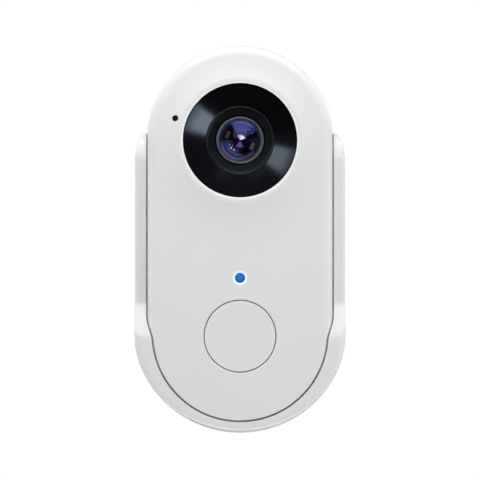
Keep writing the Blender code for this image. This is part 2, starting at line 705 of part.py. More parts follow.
def make_barrel():
    profile = [
        (FRONT_GLASS_RADIUS + SEAT_GAP, BARREL_TOP),
        (BARREL_HEAD, BARREL_TOP),
        (BARREL_HEAD, BARREL_SHOULDER),
        (BARREL_RADIUS, BARREL_SHOULDER),
        (BARREL_RADIUS, BARREL_END),
        (4.1 * MM, BARREL_END),
        (4.1 * MM, BARREL_END + 4.9 * MM),
        (4.7 * MM, BARREL_END + 5.2 * MM),
        (4.7 * MM, BARREL_END + 9.0 * MM),
        (5.6 * MM, BARREL_TOP - 1.8 * MM),
        (FRONT_GLASS_RADIUS + SEAT_GAP, BARREL_TOP - 1.8 * MM),
    ]
    turned("lens_barrel", LENS_CENTRE, profile, "black_plastic",
           steps=LENS_STEPS, ring=True)
    ring = [
        (FRONT_GLASS_RADIUS + SEAT_GAP, BARREL_TOP + 0.8 * MM),
        (BARREL_HEAD - 0.05 * MM, BARREL_TOP + 0.8 * MM),
        (BARREL_HEAD - 0.05 * MM, BARREL_TOP + SEAT_GAP),
        (FRONT_GLASS_RADIUS + SEAT_GAP, BARREL_TOP + SEAT_GAP),
    ]
    turned("lens_ring", LENS_CENTRE, ring, "bright_metal", steps=LENS_STEPS, ring=True)
    glass_back = BARREL_TOP - 1.8 * MM + SEAT_GAP
    make_lens("lens_front", FRONT_GLASS_RADIUS, glass_back, glass_back + MM,
              FRONT_GLASS_SAG, -1.4 * MM)
    make_lens("lens_middle", 4.4 * MM, BARREL_END + 6.6 * MM, BARREL_END + 7.8 * MM,
              0.6 * MM, 0.4 * MM)
    make_lens("lens_rear", 3.8 * MM, BARREL_END + 1.6 * MM, BARREL_END + 3.2 * MM,
              0.5 * MM, 0.4 * MM)
    stop_back = BARREL_END + 5.5 * MM
    stop = [(1.6 * MM, stop_back + CONTACT), (4.4 * MM, stop_back + CONTACT),
            (4.4 * MM, stop_back), (1.6 * MM, stop_back)]
    turned("aperture_stop", LENS_CENTRE, stop, "black_plastic", steps=24, ring=True)


HOLDER_HALF = (11.5 * MM, 8.0 * MM)
HOLDER_WALL = 1.0 * MM
FILTER_TRAVEL = 6.6 * MM


def make_lens_holder():
    wide, tall = HOLDER_HALF
    holder = box("lens_holder", (-wide, LENS_UP - tall, ON_CAMERA_BOARD),
                 (wide, LENS_UP + tall, HOLDER_ROOF), "black_plastic")
    bore = BARREL_RADIUS + SEAT_GAP
    socket = [(0, HOLDER_TOP), (9.5 * MM, HOLDER_TOP), (9.5 * MM, HOLDER_TOP - MM),
              (8.0 * MM, HOLDER_TOP - 2 * MM), (8.0 * MM, HOLDER_ROOF - 0.5 * MM),
              (0, HOLDER_ROOF - 0.5 * MM)]
    join(holder, turned("holder_socket", LENS_CENTRE, socket, steps=24))
    cut(holder, box("holder_hollow",
                    (-wide + HOLDER_WALL, LENS_UP - tall + HOLDER_WALL,
                     ON_CAMERA_BOARD - MM),
                    (wide - HOLDER_WALL, LENS_UP + tall - HOLDER_WALL,
                     HOLDER_ROOF - 1.5 * MM)))
    cut(holder, cylinder("holder_bore", LENS_CENTRE, bore,
                         ON_CAMERA_BOARD, HOLDER_TOP + MM, steps=24))
    cut(holder, box("flange_flat", (-wide, LENS_UP - tall - 3 * MM, HOLDER_ROOF + MM),
                    (wide, LENS_UP - tall, HOLDER_TOP + MM)))


def make_filter_changer():
    wide = HOLDER_HALF[0] - HOLDER_WALL
    tall = HOLDER_HALF[1] - HOLDER_WALL
    back = ON_CAMERA_BOARD + 1.7 * MM
    half_window = 3.2 * MM
    frame = rounded_box((-wide + SEAT_GAP, LENS_UP - tall + SEAT_GAP),
                        (wide - SEAT_GAP, LENS_UP + tall - SEAT_GAP), 0.5 * MM, 1)
    window = rounded_box((-half_window, LENS_UP - half_window),
                         (half_window, LENS_UP + half_window), 0.5 * MM, 1)
    plate("ir_cut_plate", [frame, window], back, back + 0.6 * MM, "bright_metal")
    slide_back = back + 0.9 * MM
    slide_front = slide_back + 0.8 * MM
    half_slide = 6.7 * MM
    centre = FILTER_TRAVEL / 2
    pane = 2.7 * MM
    outline = rounded_box((centre - half_slide, LENS_UP - 4.5 * MM),
                          (centre + half_slide, LENS_UP + 4.5 * MM), 0.8 * MM, 2)
    panes = [rounded_box((middle - pane, LENS_UP - pane),
                         (middle + pane, LENS_UP + pane), 0.4 * MM, 1)
             for middle in (0.0, FILTER_TRAVEL)]
    plate("ir_filter_slide", [outline, *panes], slide_back, slide_front, "black_plastic")
    glass = pane - SEAT_GAP
    box("ir_filter_glass", (-glass, LENS_UP - glass, slide_back + 0.15 * MM),
        (glass, LENS_UP + glass, slide_front - 0.15 * MM), "filter_glass")


def make_camera_board():
    low = (-13.0 * MM, LENS_UP - 8.0 * MM)
    high = (18.6 * MM, LENS_UP + CAMERA_SCREW_RISE + 3.0 * MM)
    hole = SMALL_SCREW_SHANK + SCREW_GAP
    outlines = [rounded_box(low, high, 4.0 * MM)]
    outlines += [circle(place, hole, 12) for place in CAMERA_SCREWS]
    plate("camera_board", outlines, CAMERA_BOARD_BACK,
          CAMERA_BOARD_BACK + BOARD_THICKNESS, "circuit_board")
    half = 3.6 * MM
    box("image_sensor", (-half, LENS_UP - half, ON_CAMERA_BOARD),
        (half, LENS_UP + half, ON_CAMERA_BOARD + 1.1 * MM), "black_plastic")
    make_small_screws("camera_screw", CAMERA_SCREWS, CAMERA_BOARD_BACK - SEAT_GAP, 6 * MM)


def make_small_screws(name, places, seat, length):
    """Screws driven from behind, with their heads just behind seat."""
    for number, place in enumerate(places, 1):
        profile = [(0, seat + length), (SMALL_SCREW_SHANK, seat + length),
                   (SMALL_SCREW_SHANK, seat), (SMALL_SCREW_HEAD, seat),
                   (SMALL_SCREW_HEAD, seat - MM), (0, seat - MM)]
        turned(f"{name}_{number}", place, profile, "dark_metal", steps=12)


def make_night_lights():
    inner = BARREL_HEAD + 0.5 * MM
    front = LED_BOARD_BACK + BOARD_THICKNESS
    ends = (-LED_BOARD_OPEN, 180 + LED_BOARD_OPEN)
    outline = (arc(LENS_CENTRE, LED_BOARD_RADIUS, *ends, 24)
               + arc(LENS_CENTRE, inner, *reversed(ends), 20))
    plate("ir_led_board", [outline], LED_BOARD_BACK, front, "circuit_board")
    base = front + SEAT_GAP
    step = (180 + 2 * LED_SPREAD) / (LED_COUNT - 1)
    for number in range(LED_COUNT):
        turn = math.radians(number * step - LED_SPREAD)
        place = (LED_RING_RADIUS * math.cos(turn),
                 LENS_UP + LED_RING_RADIUS * math.sin(turn))
        profile = [(0, base + 1.3 * MM), (0.8 * MM, base + 1.1 * MM),
                   (1.1 * MM, base + 0.6 * MM), (1.5 * MM, base + 0.6 * MM),
                   (1.5 * MM, base), (0, base)]
        turned(f"ir_led_{number + 1}", place, profile, "glass", steps=12)


def make_microphone():
    place = (MIC_ACROSS, MIC_UP)
    front = FACE_INSIDE - SEAT_GAP
    back = COLLAR_BACK - 0.5 * MM
    bore = MIC_RADIUS + SEAT_GAP
    profile = [(MIC_HOLE_RADIUS, front), (MIC_BOOT_RADIUS, front),
               (MIC_BOOT_RADIUS, back), (bore, back),
               (bore, front - CONTACT), (MIC_HOLE_RADIUS, front - CONTACT)]
    turned("mic_boot", place, profile, "grey_rubber", steps=16, ring=True)
    cylinder("microphone", place, MIC_RADIUS, back + 0.4 * MM,
             front - CONTACT - SEAT_GAP, "bright_metal")


# ======================================================================
# call button and status light
# ======================================================================
BUTTON_CENTRE = (0, BUTTON_UP)
SWITCH_HALF = 2.6 * MM
STEM_END = ON_MAIN_BOARD + 2.0 * MM


def make_button():
    top = FACE - BUTTON_SINK
    flange_top = FACE_INSIDE - SEAT_GAP
    flange = BUTTON_RADIUS + BUTTON_FLANGE
    profile = [
        (0, top), (BUTTON_RADIUS - 0.3 * MM, top), (BUTTON_RADIUS, top - 0.3 * MM),
        (BUTTON_RADIUS, flange_top), (flange, flange_top),
        (flange, flange_top - FLANGE_THICKNESS),
        (BUTTON_RADIUS - BUTTON_WALL, flange_top - FLANGE_THICKNESS),
        (BUTTON_RADIUS - BUTTON_WALL, top - BUTTON_PLATE),
        (STEM_RADIUS, top - BUTTON_PLATE), (STEM_RADIUS, STEM_END), (0, STEM_END)]
    turned("button_cap", BUTTON_CENTRE, profile, "white_plastic", steps=36)


def make_button_membrane():
    web_back = ON_MAIN_BOARD + 0.6 * MM
    web_front = web_back + 0.5 * MM
    rim_front = FACE_INSIDE - SEAT_GAP
    rim_outer = BUTTON_RADIUS + 2.9 * MM
    rim_inner = rim_outer - 1.1 * MM
    crown = STEM_END - SEAT_GAP
    profile = [
        (0, crown), (3.2 * MM, crown), (4.7 * MM, web_front), (rim_inner, web_front),
        (rim_inner, rim_front), (rim_outer, rim_front), (rim_outer, web_back),
        (4.9 * MM, web_back), (4.0 * MM, crown - CONTACT), (0, crown - CONTACT)]
    turned("button_membrane", BUTTON_CENTRE, profile, "grey_rubber", steps=24)


def make_button_switch():
    back = ON_MAIN_BOARD
    square = rounded_box((-SWITCH_HALF, BUTTON_UP - SWITCH_HALF),
                         (SWITCH_HALF, BUTTON_UP + SWITCH_HALF), 0.5 * MM, 1)
    plate("button_switch", [square, circle(BUTTON_CENTRE, 1.3 * MM, 12)],
          back, back + 0.7 * MM, "bright_metal")
    cylinder("switch_plunger", BUTTON_CENTRE, MM, back + 0.4 * MM,
             back + 1.0 * MM, "black_plastic", steps=12)


def make_status_light():
    front = FACE - BUTTON_SINK
    flange = FACE_INSIDE - SEAT_GAP
    profile = [(0, front), (LIGHT_RADIUS, front), (LIGHT_RADIUS, flange),
               (2.4 * MM, flange), (2.4 * MM, flange - FLANGE_THICKNESS),
               (MM, flange - FLANGE_THICKNESS), (MM, ON_MAIN_BOARD + MM),
               (0, ON_MAIN_BOARD + MM)]
    turned("light_pipe", (0, LIGHT_UP), profile, "blue_light", steps=24)
    box("status_led", (-MM, LIGHT_UP - 0.7 * MM, ON_MAIN_BOARD),
        (MM, LIGHT_UP + 0.7 * MM, ON_MAIN_BOARD + 0.7 * MM), "white_plastic")


# ======================================================================
# boards, sound and battery
# ======================================================================
def make_main_board():
    drop = math.acos(MAIN_BOARD_HALF_WIDTH / MAIN_BOARD_END_RADIUS)
    end = arc((0, LOWER_ARC), MAIN_BOARD_END_RADIUS, 180 + math.degrees(drop),
              360 - math.degrees(drop), 14)
    corner = 2 * MM
    inner = MAIN_BOARD_HALF_WIDTH - corner
    top = MAIN_BOARD_TOP - corner
    outline = (end + arc((inner, top), corner, 0, 90, 3)
               + arc((-inner, top), corner, 90, 180, 3))
    holes = [circle(place, SMALL_SCREW_SHANK + SCREW_GAP, 12) for place in BOARD_SCREWS]
    back = MAIN_BOARD_FRONT - BOARD_THICKNESS
    plate("main_board", [outline, *holes], back, MAIN_BOARD_FRONT, "circuit_board")
    make_small_screws("board_screw", BOARD_SCREWS, back - SEAT_GAP, 3.6 * MM)
    can_bottom = LIGHT_UP + 4.5 * MM
    box("shield_can", (-16 * MM, can_bottom, ON_MAIN_BOARD),
        (2 * MM, can_bottom + 15 * MM, ON_MAIN_BOARD + 1.6 * MM), "bright_metal")
    module_bottom = LIGHT_UP + 3.5 * MM
    box("wifi_module", (4.5 * MM, module_bottom, ON_MAIN_BOARD),
        (17 * MM, module_bottom + 12 * MM, ON_MAIN_BOARD + 1.4 * MM), "dark_metal")
    wall = BODY_RADIUS - WALL - SEAT_GAP
    box("wifi_antenna", (wall - CONTACT, -16 * MM, FACE - 14 * MM),
        (wall, 16 * MM, FACE - 6 * MM), "amber_film")


def make_camera_ribbon():
    """Flat cable from the camera board over the battery to the main board."""
    board = CAMERA_BOARD_BACK + BOARD_THICKNESS + SEAT_GAP
    run = MAIN_BOARD_FRONT - 0.7 * MM
    rise = ON_MAIN_BOARD + 0.1 * MM
    start = LENS_UP - 6.5 * MM
    bend = 1.2 * MM
    path = [(start, board)]
    path += arc((start - bend, run - bend), bend, 0, 90, 4)
    path += [(MAIN_BOARD_TOP + 3.2 * MM, run), (MAIN_BOARD_TOP + 1.2 * MM, rise),
             (MAIN_BOARD_TOP - 2.4 * MM, rise)]
    left = 14.2 * MM
    right = 18.2 * MM
    bm = bmesh.new()
    rows = [[bm.verts.new((across, up, depth)) for across in (left, right)]
            for up, depth in path]
    for first, second in zip(rows, rows[1:]):
        bm.faces.new((first[0], first[1], second[1], second[0]))
    ribbon = add("camera_ribbon", mesh_from(bm, "camera_ribbon"), "amber_film")
    skin = ribbon.modifiers.new("thickness", "SOLIDIFY")
    skin.thickness = 0.25 * MM
    skin.offset = 0


def make_speaker():
    half = 7.9 * MM
    back = SLOT_BACK - 4.0 * MM
    front = SLOT_FRONT + 1.1 * MM
    wall = -(BODY_RADIUS - WALL - SEAT_GAP)
    pad = 0.5 * MM
    rim = 1.6 * MM
    body = wall + pad + SEAT_GAP
    gasket = box("speaker_gasket", (wall, SPEAKER_UP - half, back),
                 (wall + pad, SPEAKER_UP + half, front), "grey_rubber")
    cut(gasket, box("gasket_hole",
                    (wall - MM, SPEAKER_UP - half + MM, back + MM),
                    (wall + pad + MM, SPEAKER_UP + half - MM, front - MM)))
    speaker = box("speaker", (body, SPEAKER_UP - half, back),
                  (body + 5.4 * MM, SPEAKER_UP + half, front), "black_plastic")
    cut(speaker, box("speaker_cone",
                     (body - MM, SPEAKER_UP - half + rim, back + rim),
                     (body + 0.6 * MM, SPEAKER_UP + half - rim, front - rim)))


CELL_TOP = CELL_BOTTOM + CELL_LENGTH
CELL_AXIS = CELL_RADIUS + CELL_GAP / 2
CELL_DEPTH = CELL_BACK + CELL_RADIUS


def make_battery():
    top = CELL_LENGTH
    can = top - 0.8 * MM
    profile = [(0, top), (3 * MM, top), (3 * MM, can), (CELL_RADIUS - CONTACT, can),
               (CELL_RADIUS, can - CONTACT), (CELL_RADIUS, 0), (0, 0)]
    for side, name in ((-1, "battery_cell_left"), (1, "battery_cell_right")):
        cell = turned(name, (0, 0), profile, "cell_wrap", steps=32)
        cell.rotation_euler = (-math.pi / 2, 0, 0)
        cell.location = (side * CELL_AXIS, CELL_BOTTOM, CELL_DEPTH)
    half = 4 * MM
    back = CELL_DEPTH - half
    front = CELL_DEPTH + half
    upper = CELL_TOP + SEAT_GAP
    lower = CELL_BOTTOM - SEAT_GAP
    box("contact_plate_top", (-CELL_AXIS - half, upper, back),
        (CELL_AXIS + half, upper + CONTACT, front), "bright_metal")
    for side, name in ((-1, "contact_plate_left"), (1, "contact_plate_right")):
        box(name, (side * CELL_AXIS - half, lower - CONTACT, back),
            (side * CELL_AXIS + half, lower, front), "bright_metal")
    inner_x = FRAME_HALF_WIDTH - FRAME_WALL
    inner_top = upper + CONTACT + SEAT_GAP
    inner_bottom = lower - CONTACT - SEAT_GAP
    frame_back = CHARGE_BOARD_BACK + BOARD_THICKNESS + 0.4 * MM
    frame_front = MAIN_BOARD_FRONT - BOARD_THICKNESS - SEAT_GAP
    frame = box("battery_frame",
                (-FRAME_HALF_WIDTH, inner_bottom - FRAME_PLATE, frame_back),
                (FRAME_HALF_WIDTH, inner_top + FRAME_PLATE, frame_front),
                "black_plastic")
    cut(frame, box("frame_hollow", (-inner_x, inner_bottom, frame_back - MM),
                   (inner_x, inner_top, frame_front - FRAME_PLATE)))


# ======================================================================
# rear controls
# ======================================================================
ON_CHARGE_BOARD = CHARGE_BOARD_BACK - SEAT_GAP
KNOB_REST = -KEY_ACROSS - SWITCH_TRAVEL / 2


def make_rear_controls():
    box("charge_board", (-14 * MM, PORT_UP - 2.1 * MM, CHARGE_BOARD_BACK),
        (14 * MM, PORT_UP + 3.3 * MM, CHARGE_BOARD_BACK + BOARD_THICKNESS),
        "circuit_board")
    mouth = POCKET_FLOOR + 0.1 * MM
    socket = plate("usb_socket", [usb_outline(0)], mouth, ON_CHARGE_BOARD, "bright_metal")
    cut(socket, plate("socket_hollow", [usb_outline(-USB_WALL)], mouth - MM, mouth + 5 * MM))
    join(socket, box("socket_tongue",
                     (-3.3 * MM, PORT_UP - 0.35 * MM, mouth + 1.4 * MM),
                     (3.3 * MM, PORT_UP + 0.35 * MM, mouth + 5.5 * MM)))
    body_back = POCKET_FLOOR + 2.8 * MM
    switch = box("power_switch",
                 (-KEY_ACROSS - 3.2 * MM, PORT_UP - 1.7 * MM, body_back),
                 (-KEY_ACROSS + 3.2 * MM, PORT_UP + 1.7 * MM, ON_CHARGE_BOARD),
                 "bright_metal")
    slot = KNOB_HALF_WIDTH + SWITCH_TRAVEL / 2 + 0.5 * MM
    slot_height = KNOB_HALF_HEIGHT + SEAT_GAP
    cut(switch, box("switch_slot",
                    (-KEY_ACROSS - slot, PORT_UP - slot_height, body_back - MM),
                    (-KEY_ACROSS + slot, PORT_UP + slot_height, body_back + 1.3 * MM)))
    knob = box("switch_knob",
               (-KNOB_HALF_WIDTH, -KNOB_HALF_HEIGHT, POCKET_FLOOR + 0.2 * MM),
               (KNOB_HALF_WIDTH, KNOB_HALF_HEIGHT, body_back + 0.9 * MM), "black_plastic")
    knob.location = (KNOB_REST, PORT_UP, 0)
    half = 1.8 * MM
    box("reset_switch", (KEY_ACROSS - half, PORT_UP - half, ON_CHARGE_BOARD - 1.8 * MM),
        (KEY_ACROSS + half, PORT_UP + half, ON_CHARGE_BOARD), "bright_metal")
    end = ON_CHARGE_BOARD - 1.8 * MM - RESET_TRAVEL - 0.2 * MM
    flange = COVER_INSIDE + SEAT_GAP
    stem, collar = RESET_KEY_RADIUS, RESET_KEY_RADIUS + 0.7 * MM
    profile = [(0, end), (stem, end), (stem, flange + 0.6 * MM),
               (collar, flange + 0.6 * MM), (collar, flange), (stem, flange),
               (stem, POCKET_FLOOR + 0.2 * MM), (0, POCKET_FLOOR + 0.2 * MM)]
    turned("reset_key", (KEY_ACROSS, PORT_UP), profile, "black_plastic", steps=16)


def make_port_cover():
    """Rubber flap, drawn from its hinge line at the top of its outer face."""
    down = FLAP_BOTTOM - FLAP_TOP
    outline = rounded_box((-FLAP_HALF_WIDTH, down), (FLAP_HALF_WIDTH, 0), 1.8 * MM)
    flap = plate("port_cover", [outline], 0, FLAP_THICKNESS, "white_rubber")
    flap.location = (0, FLAP_TOP, BODY_BACK)
    middle = PORT_UP - FLAP_TOP
    plug = rounded_box((-3.9 * MM, middle - 0.8 * MM), (3.9 * MM, middle + 0.8 * MM),
                       0.7 * MM)
    boss = plate("port_plug", [plug], FLAP_THICKNESS / 2, FLAP_THICKNESS + 1.3 * MM)
    boss.location = flap.location
    join(flap, boss)


# ======================================================================
# cradle
# ======================================================================
def cradle_outline(grow, drop):
    """U outline: half ellipse below, straight arms, leaning rounded tips."""
    half = CRADLE_HALF_WIDTH + grow
    tip = CRADLE_HALF_WIDTH - BODY_RADIUS - SLIDE_GAP + grow
    shoulder = ARM_TOP - ARM_TIP_HEIGHT
    corner = (tip, ARM_TIP_HEIGHT)
    return (arc((0, LOWER_ARC), (half, drop), 180, 360, 32)
            + arc((half - tip, shoulder), corner, 0, 90, 6)
            + arc((tip - half, shoulder), corner, 90, 180, 6))


def arm_relief():
    """Side profile, (up, depth), of what is cut away in front of the arms.

    The cup flows into a slope, a quarter of a cosine wave, that ends at a crease
    where the straight arm starts.
    """
    beyond = FACE + 10 * MM
    points = [(CUP_BLEND_BOTTOM, beyond)]
    steps = 10
    for i in range(steps + 1):
        share = i / steps
        fall = 1 - math.cos(math.pi / 2 * share)
        points.append((CUP_BLEND_BOTTOM + share * (CUP_BLEND_TOP - CUP_BLEND_BOTTOM),
                       CUP_FRONT + fall * (ARM_FRONT - CUP_FRONT)))
    points += [(ARM_TOP - ARM_TIP_HEIGHT + ARM_TIP_HEIGHT * math.sin(turn),
                ARM_FRONT - ARM_TIP_DEPTH * (1 - math.cos(turn)))
               for turn in (math.pi / 2 * i / 8 for i in range(9))]
    points += [(ARM_TOP + 5 * MM, ARM_FRONT - ARM_TIP_DEPTH), (ARM_TOP + 5 * MM, beyond)]
    return points


def side_profile(name, outline, half_width):
    """Solid of a (up, depth) outline that runs across the object."""
    mesh = outline_mesh(name, [outline], -half_width, half_width)
    mesh.transform(Matrix(((0, 0, 1, 0), (1, 0, 0, 0), (0, 1, 0, 0), (0, 0, 0, 1))))
    return add(name, mesh)


def make_cradle():
    rows = [(PLATE_BACK, 0.0, CUP_DROP),
            (ARM_FRONT, 0.1 * MM, CUP_DROP - 0.4 * MM),
            (CUP_FRONT - 1.3 * MM, 0.3 * MM, CUP_DROP - 0.8 * MM),
            (CUP_FRONT - 0.4 * MM, -0.1 * MM, CUP_DROP - 1.2 * MM),
            (CUP_FRONT, -0.9 * MM, CUP_DROP - 2.0 * MM)]
    rings = [at_depth(cradle_outline(grow, drop), depth) for depth, grow, drop in rows]
    cradle = loft("cradle", rings, "white_plastic")
    gap = SLIDE_GAP
    reach = BODY_RADIUS + gap
    channel_outline = (arc((0, LOWER_ARC), reach, 180, 360, 32)
                       + [(reach, ARM_TOP + 10 * MM), (-reach, ARM_TOP + 10 * MM)])
    front = FACE + gap
    channel = plate("channel_cutter", [channel_outline], PLATE_FRONT, front)
    round_edges(channel, EDGE_RADIUS + gap, 6, lambda x, y, z: z > front - 1e-5)
    cut(cradle, channel)
    cut(cradle, side_profile("arm_relief", arm_relief(), CRADLE_HALF_WIDTH + 5 * MM))
    for side in (-1, 1):
        inner = side * (reach - RAIL_HEIGHT)
        outer = side * (reach + MM)
        join(cradle, box("rail", (min(inner, outer), RAIL_BOTTOM, RAIL_BACK),
                         (max(inner, outer), RAIL_TOP, RAIL_BACK + RAIL_THICKNESS)))
        drain = cylinder("drain_cutter", (0, 0), DRAIN_RADIUS, -6 * MM, 6 * MM, steps=12)
        drain.rotation_euler = (math.pi / 2, 0, 0)
        drain.location = (side * DRAIN_ACROSS, LOWER_ARC - CUP_DROP, FACE / 2)
        cut(cradle, drain)
    recess = rounded_box((-PAD_HALF_WIDTH - SEAT_GAP, PAD_BOTTOM - SEAT_GAP),
                         (PAD_HALF_WIDTH + SEAT_GAP, PAD_TOP + SEAT_GAP), 5 * MM)
    cut(cradle, plate("pad_recess", [recess], -MM, PAD_THICKNESS + SEAT_GAP))
    window = rounded_box((-WINDOW_HALF_WIDTH, WINDOW_BOTTOM),
                         (WINDOW_HALF_WIDTH, WINDOW_TOP), 2.5 * MM)
    cut(cradle, plate("window_cutter", [window], -MM, PLATE_FRONT + MM / 2))
    for up in WALL_SCREW_UPS:
        profile = [(0, PLATE_FRONT + MM), (WALL_SCREW_SINK, PLATE_FRONT + MM),
                   (WALL_SCREW_SINK, PLATE_FRONT - 0.2 * MM),
                   (WALL_SCREW_HOLE, PLATE_FRONT - 2 * MM),
                   (WALL_SCREW_HOLE, -MM), (0, -MM)]
        cut(cradle, turned("wall_screw_hole", (0, up), profile, steps=20))
    return cradle


def make_mounting_pad():
    outline = rounded_box((-PAD_HALF_WIDTH, PAD_BOTTOM), (PAD_HALF_WIDTH, PAD_TOP),
                          4.7 * MM)
    holes = [circle((0, up), WALL_SCREW_SINK + MM, 20) for up in WALL_SCREW_UPS]
    plate("mounting_pad", [outline, *holes], 0, PAD_THICKNESS, "foam")


def main():
    make_cradle()
    make_mounting_pad()
    make_front_shell()
    make_rear_cover()
    make_case_seal()
    make_case_screws()
    make_camera_bezel()
    make_barrel()
    make_lens_holder()
    make_filter_changer()
    make_camera_board()
    make_night_lights()
    make_microphone()
    make_button()
    make_button_membrane()
    make_button_switch()
    make_status_light()
    make_main_board()
    make_camera_ribbon()
    make_speaker()
    make_battery()
    make_rear_controls()
    make_port_cover()


main()
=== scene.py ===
"""Video doorbell in its wall cradle.

Fine surfaces, finishes and a small studio for the solid model of a battery
doorbell. Shapes are drawn on the wall: across to the right, up, and depth out
of the wall towards the visitor. to_world turns that into the model's frame.
"""
import math

import bmesh
import bpy
import numpy as np
from mathutils import Matrix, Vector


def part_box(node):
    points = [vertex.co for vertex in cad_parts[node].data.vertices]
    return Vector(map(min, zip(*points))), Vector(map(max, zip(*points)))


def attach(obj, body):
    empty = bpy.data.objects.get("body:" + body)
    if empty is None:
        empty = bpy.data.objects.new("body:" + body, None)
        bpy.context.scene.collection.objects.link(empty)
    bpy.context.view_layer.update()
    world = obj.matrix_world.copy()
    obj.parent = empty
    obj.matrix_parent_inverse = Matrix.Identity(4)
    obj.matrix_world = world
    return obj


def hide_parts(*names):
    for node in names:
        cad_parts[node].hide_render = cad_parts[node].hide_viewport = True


bl_info = {
    "name": "Video doorbell",
    "version": (1, 0, 0),
    "blender": (4, 5, 0),
    "location": "View3D > Sidebar > Doorbell",
    "description": "Builds the surfaces and finishes of a battery video doorbell",
    "category": "Add Mesh",
}

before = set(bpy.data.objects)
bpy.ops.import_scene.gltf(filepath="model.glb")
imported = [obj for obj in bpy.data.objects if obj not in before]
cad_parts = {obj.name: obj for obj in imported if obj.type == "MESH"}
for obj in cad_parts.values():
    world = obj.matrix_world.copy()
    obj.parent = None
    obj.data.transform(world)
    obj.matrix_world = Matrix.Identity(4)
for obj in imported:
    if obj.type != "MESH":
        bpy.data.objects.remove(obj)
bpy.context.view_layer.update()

MM = 0.001
SHARP_ANGLE = math.radians(32)
ROUND_STEPS = 96             # columns in each half circle of the body
SIDE_STEPS = 64              # columns along each straight side
FACE_ROWS = 56               # rows from the camera ring to the edge of the face
FACE_CROWDING = 1.3          # how much closer those rows lie near the ring
EDGE_ROWS = 13               # rows round the edge of the face
WALL_ROWS = 14               # rows down the side wall
HILL_FALL = 2.5              # power of the fall of the raised field


# ---- places taken from the solid model ----------------------------------
def reach_of(node):
    """Wall-frame limits of a node: (across, up, depth) low and high."""
    low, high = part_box(node)
    return ((low[0], low[2], -high[1]), (high[0], high[2], -low[1]))


def radius_of(node):
    """Half the width of a node."""
    low, high = reach_of(node)
    return (high[0] - low[0]) / 2


def centre_of(node):
    """Middle of a node as (across, up)."""
    low, high = reach_of(node)
    return ((low[0] + high[0]) / 2, (low[1] + high[1]) / 2)


SHELL_LOW, SHELL_HIGH = reach_of("front_shell")
COVER_LOW, COVER_HIGH = reach_of("rear_cover")
CRADLE_LOW, CRADLE_HIGH = reach_of("cradle")
PAD_LOW, PAD_HIGH = reach_of("mounting_pad")
FLAP_LOW, FLAP_HIGH = reach_of("port_cover")

BODY_RADIUS = SHELL_HIGH[0]
UPPER_ARC = SHELL_HIGH[1] - BODY_RADIUS
LOWER_ARC = SHELL_LOW[1] + BODY_RADIUS
LENS_CENTRE = centre_of("lens_front")
LENS_UP = LENS_CENTRE[1]
BUTTON_CENTRE = centre_of("button_cap")
LIGHT_CENTRE = centre_of("light_pipe")
MIC_CENTRE = centre_of("microphone")

# ---- fixed sizes, in the same order as the pieces -------------------------
BUTTON_REACH = 11.0 * MM     # radius of the button's face, inside its flange
LIGHT_REACH = 1.5 * MM       # radius of the light pipe's face, inside its flange
LIGHT_SEAT = 3.3 * MM        # light pipe's flange, under the camera ring
MIC_HOLE = 0.95 * MM         # radius of the microphone hole
FUNNEL_SEAT = 3.3 * MM       # ledge for the funnel, under the flat face
COLLAR = 1.5 * MM            # wall of the opening below that ledge
LIP_WIDTH = 0.3 * MM         # lip round the camera opening, painted lighter as a highlight
LIP_RISE = 0.06 * MM         # slope between that lip and the level ring
CUP_LAP = 0.1 * MM           # gap between the shell's step and the cradle's lip
GROOVE = 1.7 * MM            # deepest part of the thin line round the lip

SOUND_SLOTS = ((-15.0 * MM, 6), (10.2 * MM, 3))   # middle height and how many
SLOT_PITCH = 2.6 * MM
SLOT_HALF = 0.6 * MM         # half height of a slot
SLOT_DEPTHS = (12.9 * MM, 4.4 * MM)               # both ends, under the flat face
RAIL = (COVER_LOW[2] + 9.1 * MM, COVER_LOW[2] + 11.1 * MM)   # depths of a rail
RAIL_UPS = (-18.0 * MM, 28.0 * MM)                # bottom and top of a rail
RAIL_HEIGHT = 1.1 * MM       # how far a rail stands into the body

KEY_ACROSS = 8.4 * MM        # middle of the reset key
KEY_HOLE = 1.6 * MM          # radius of the hole for it
SOCKET_MOUTH = (4.8 * MM, 1.95 * MM)              # half width and half height
KNOB_SLOT = (-10.9 * MM, -5.9 * MM, 1.1 * MM)     # left, right, half height
POCKET_FLOOR = 1.2 * MM      # depth of the pocket round the port flap
SCREW_SEAT = 1.6 * MM        # depth of a case screw's well
SCREW_WELL = 2.2 * MM        # radius of the well
SCREW_HOLE = 1.3 * MM        # radius of the hole in its floor
SCREW_HEAD = 1.1 * MM        # height of a case screw's head
SCREW_CREST = 1.0 * MM       # thread of a case screw, outer radius
SCREW_ROOT = 0.78 * MM       # and inner radius

CRADLE_HALF = 32.5 * MM      # half the width of the arms
# outside of the cup under the lower centre: at the wall, at the arms' front
# and at the cup's front
CUP_DROPS = (LOWER_ARC - CRADLE_LOW[1], 30.5 * MM, 29.9 * MM)
WALL_SCREWS = (20 * MM, -30 * MM)                 # heights of the wall screws
WALL_HOLE, WALL_HEAD, PAD_HOLE = 2.2 * MM, 4.4 * MM, 5.4 * MM   # their radii
WINDOW = (12.5 * MM, 1.4 * MM)                    # half width, room round the flap
DRAIN = (9 * MM, 1.2 * MM)   # place across and radius of a drain hole

CONE_SAG = 0.1 * MM          # hollow of the black cone
THREAD_CREST = 6.0 * MM      # barrel thread, outer radius
BARREL_STEPS = (5.5 * MM, 4.1 * MM, 4.7 * MM, 5.6 * MM)   # radii from back to front
BUTTON_STEM = 2.6 * MM       # radius of the button's stem
FLAP_PLATE = 0.9 * MM        # thickness of the flap's plate
PLUG = (3.9 * MM, 0.8 * MM)  # half width and half height of the flap's plug


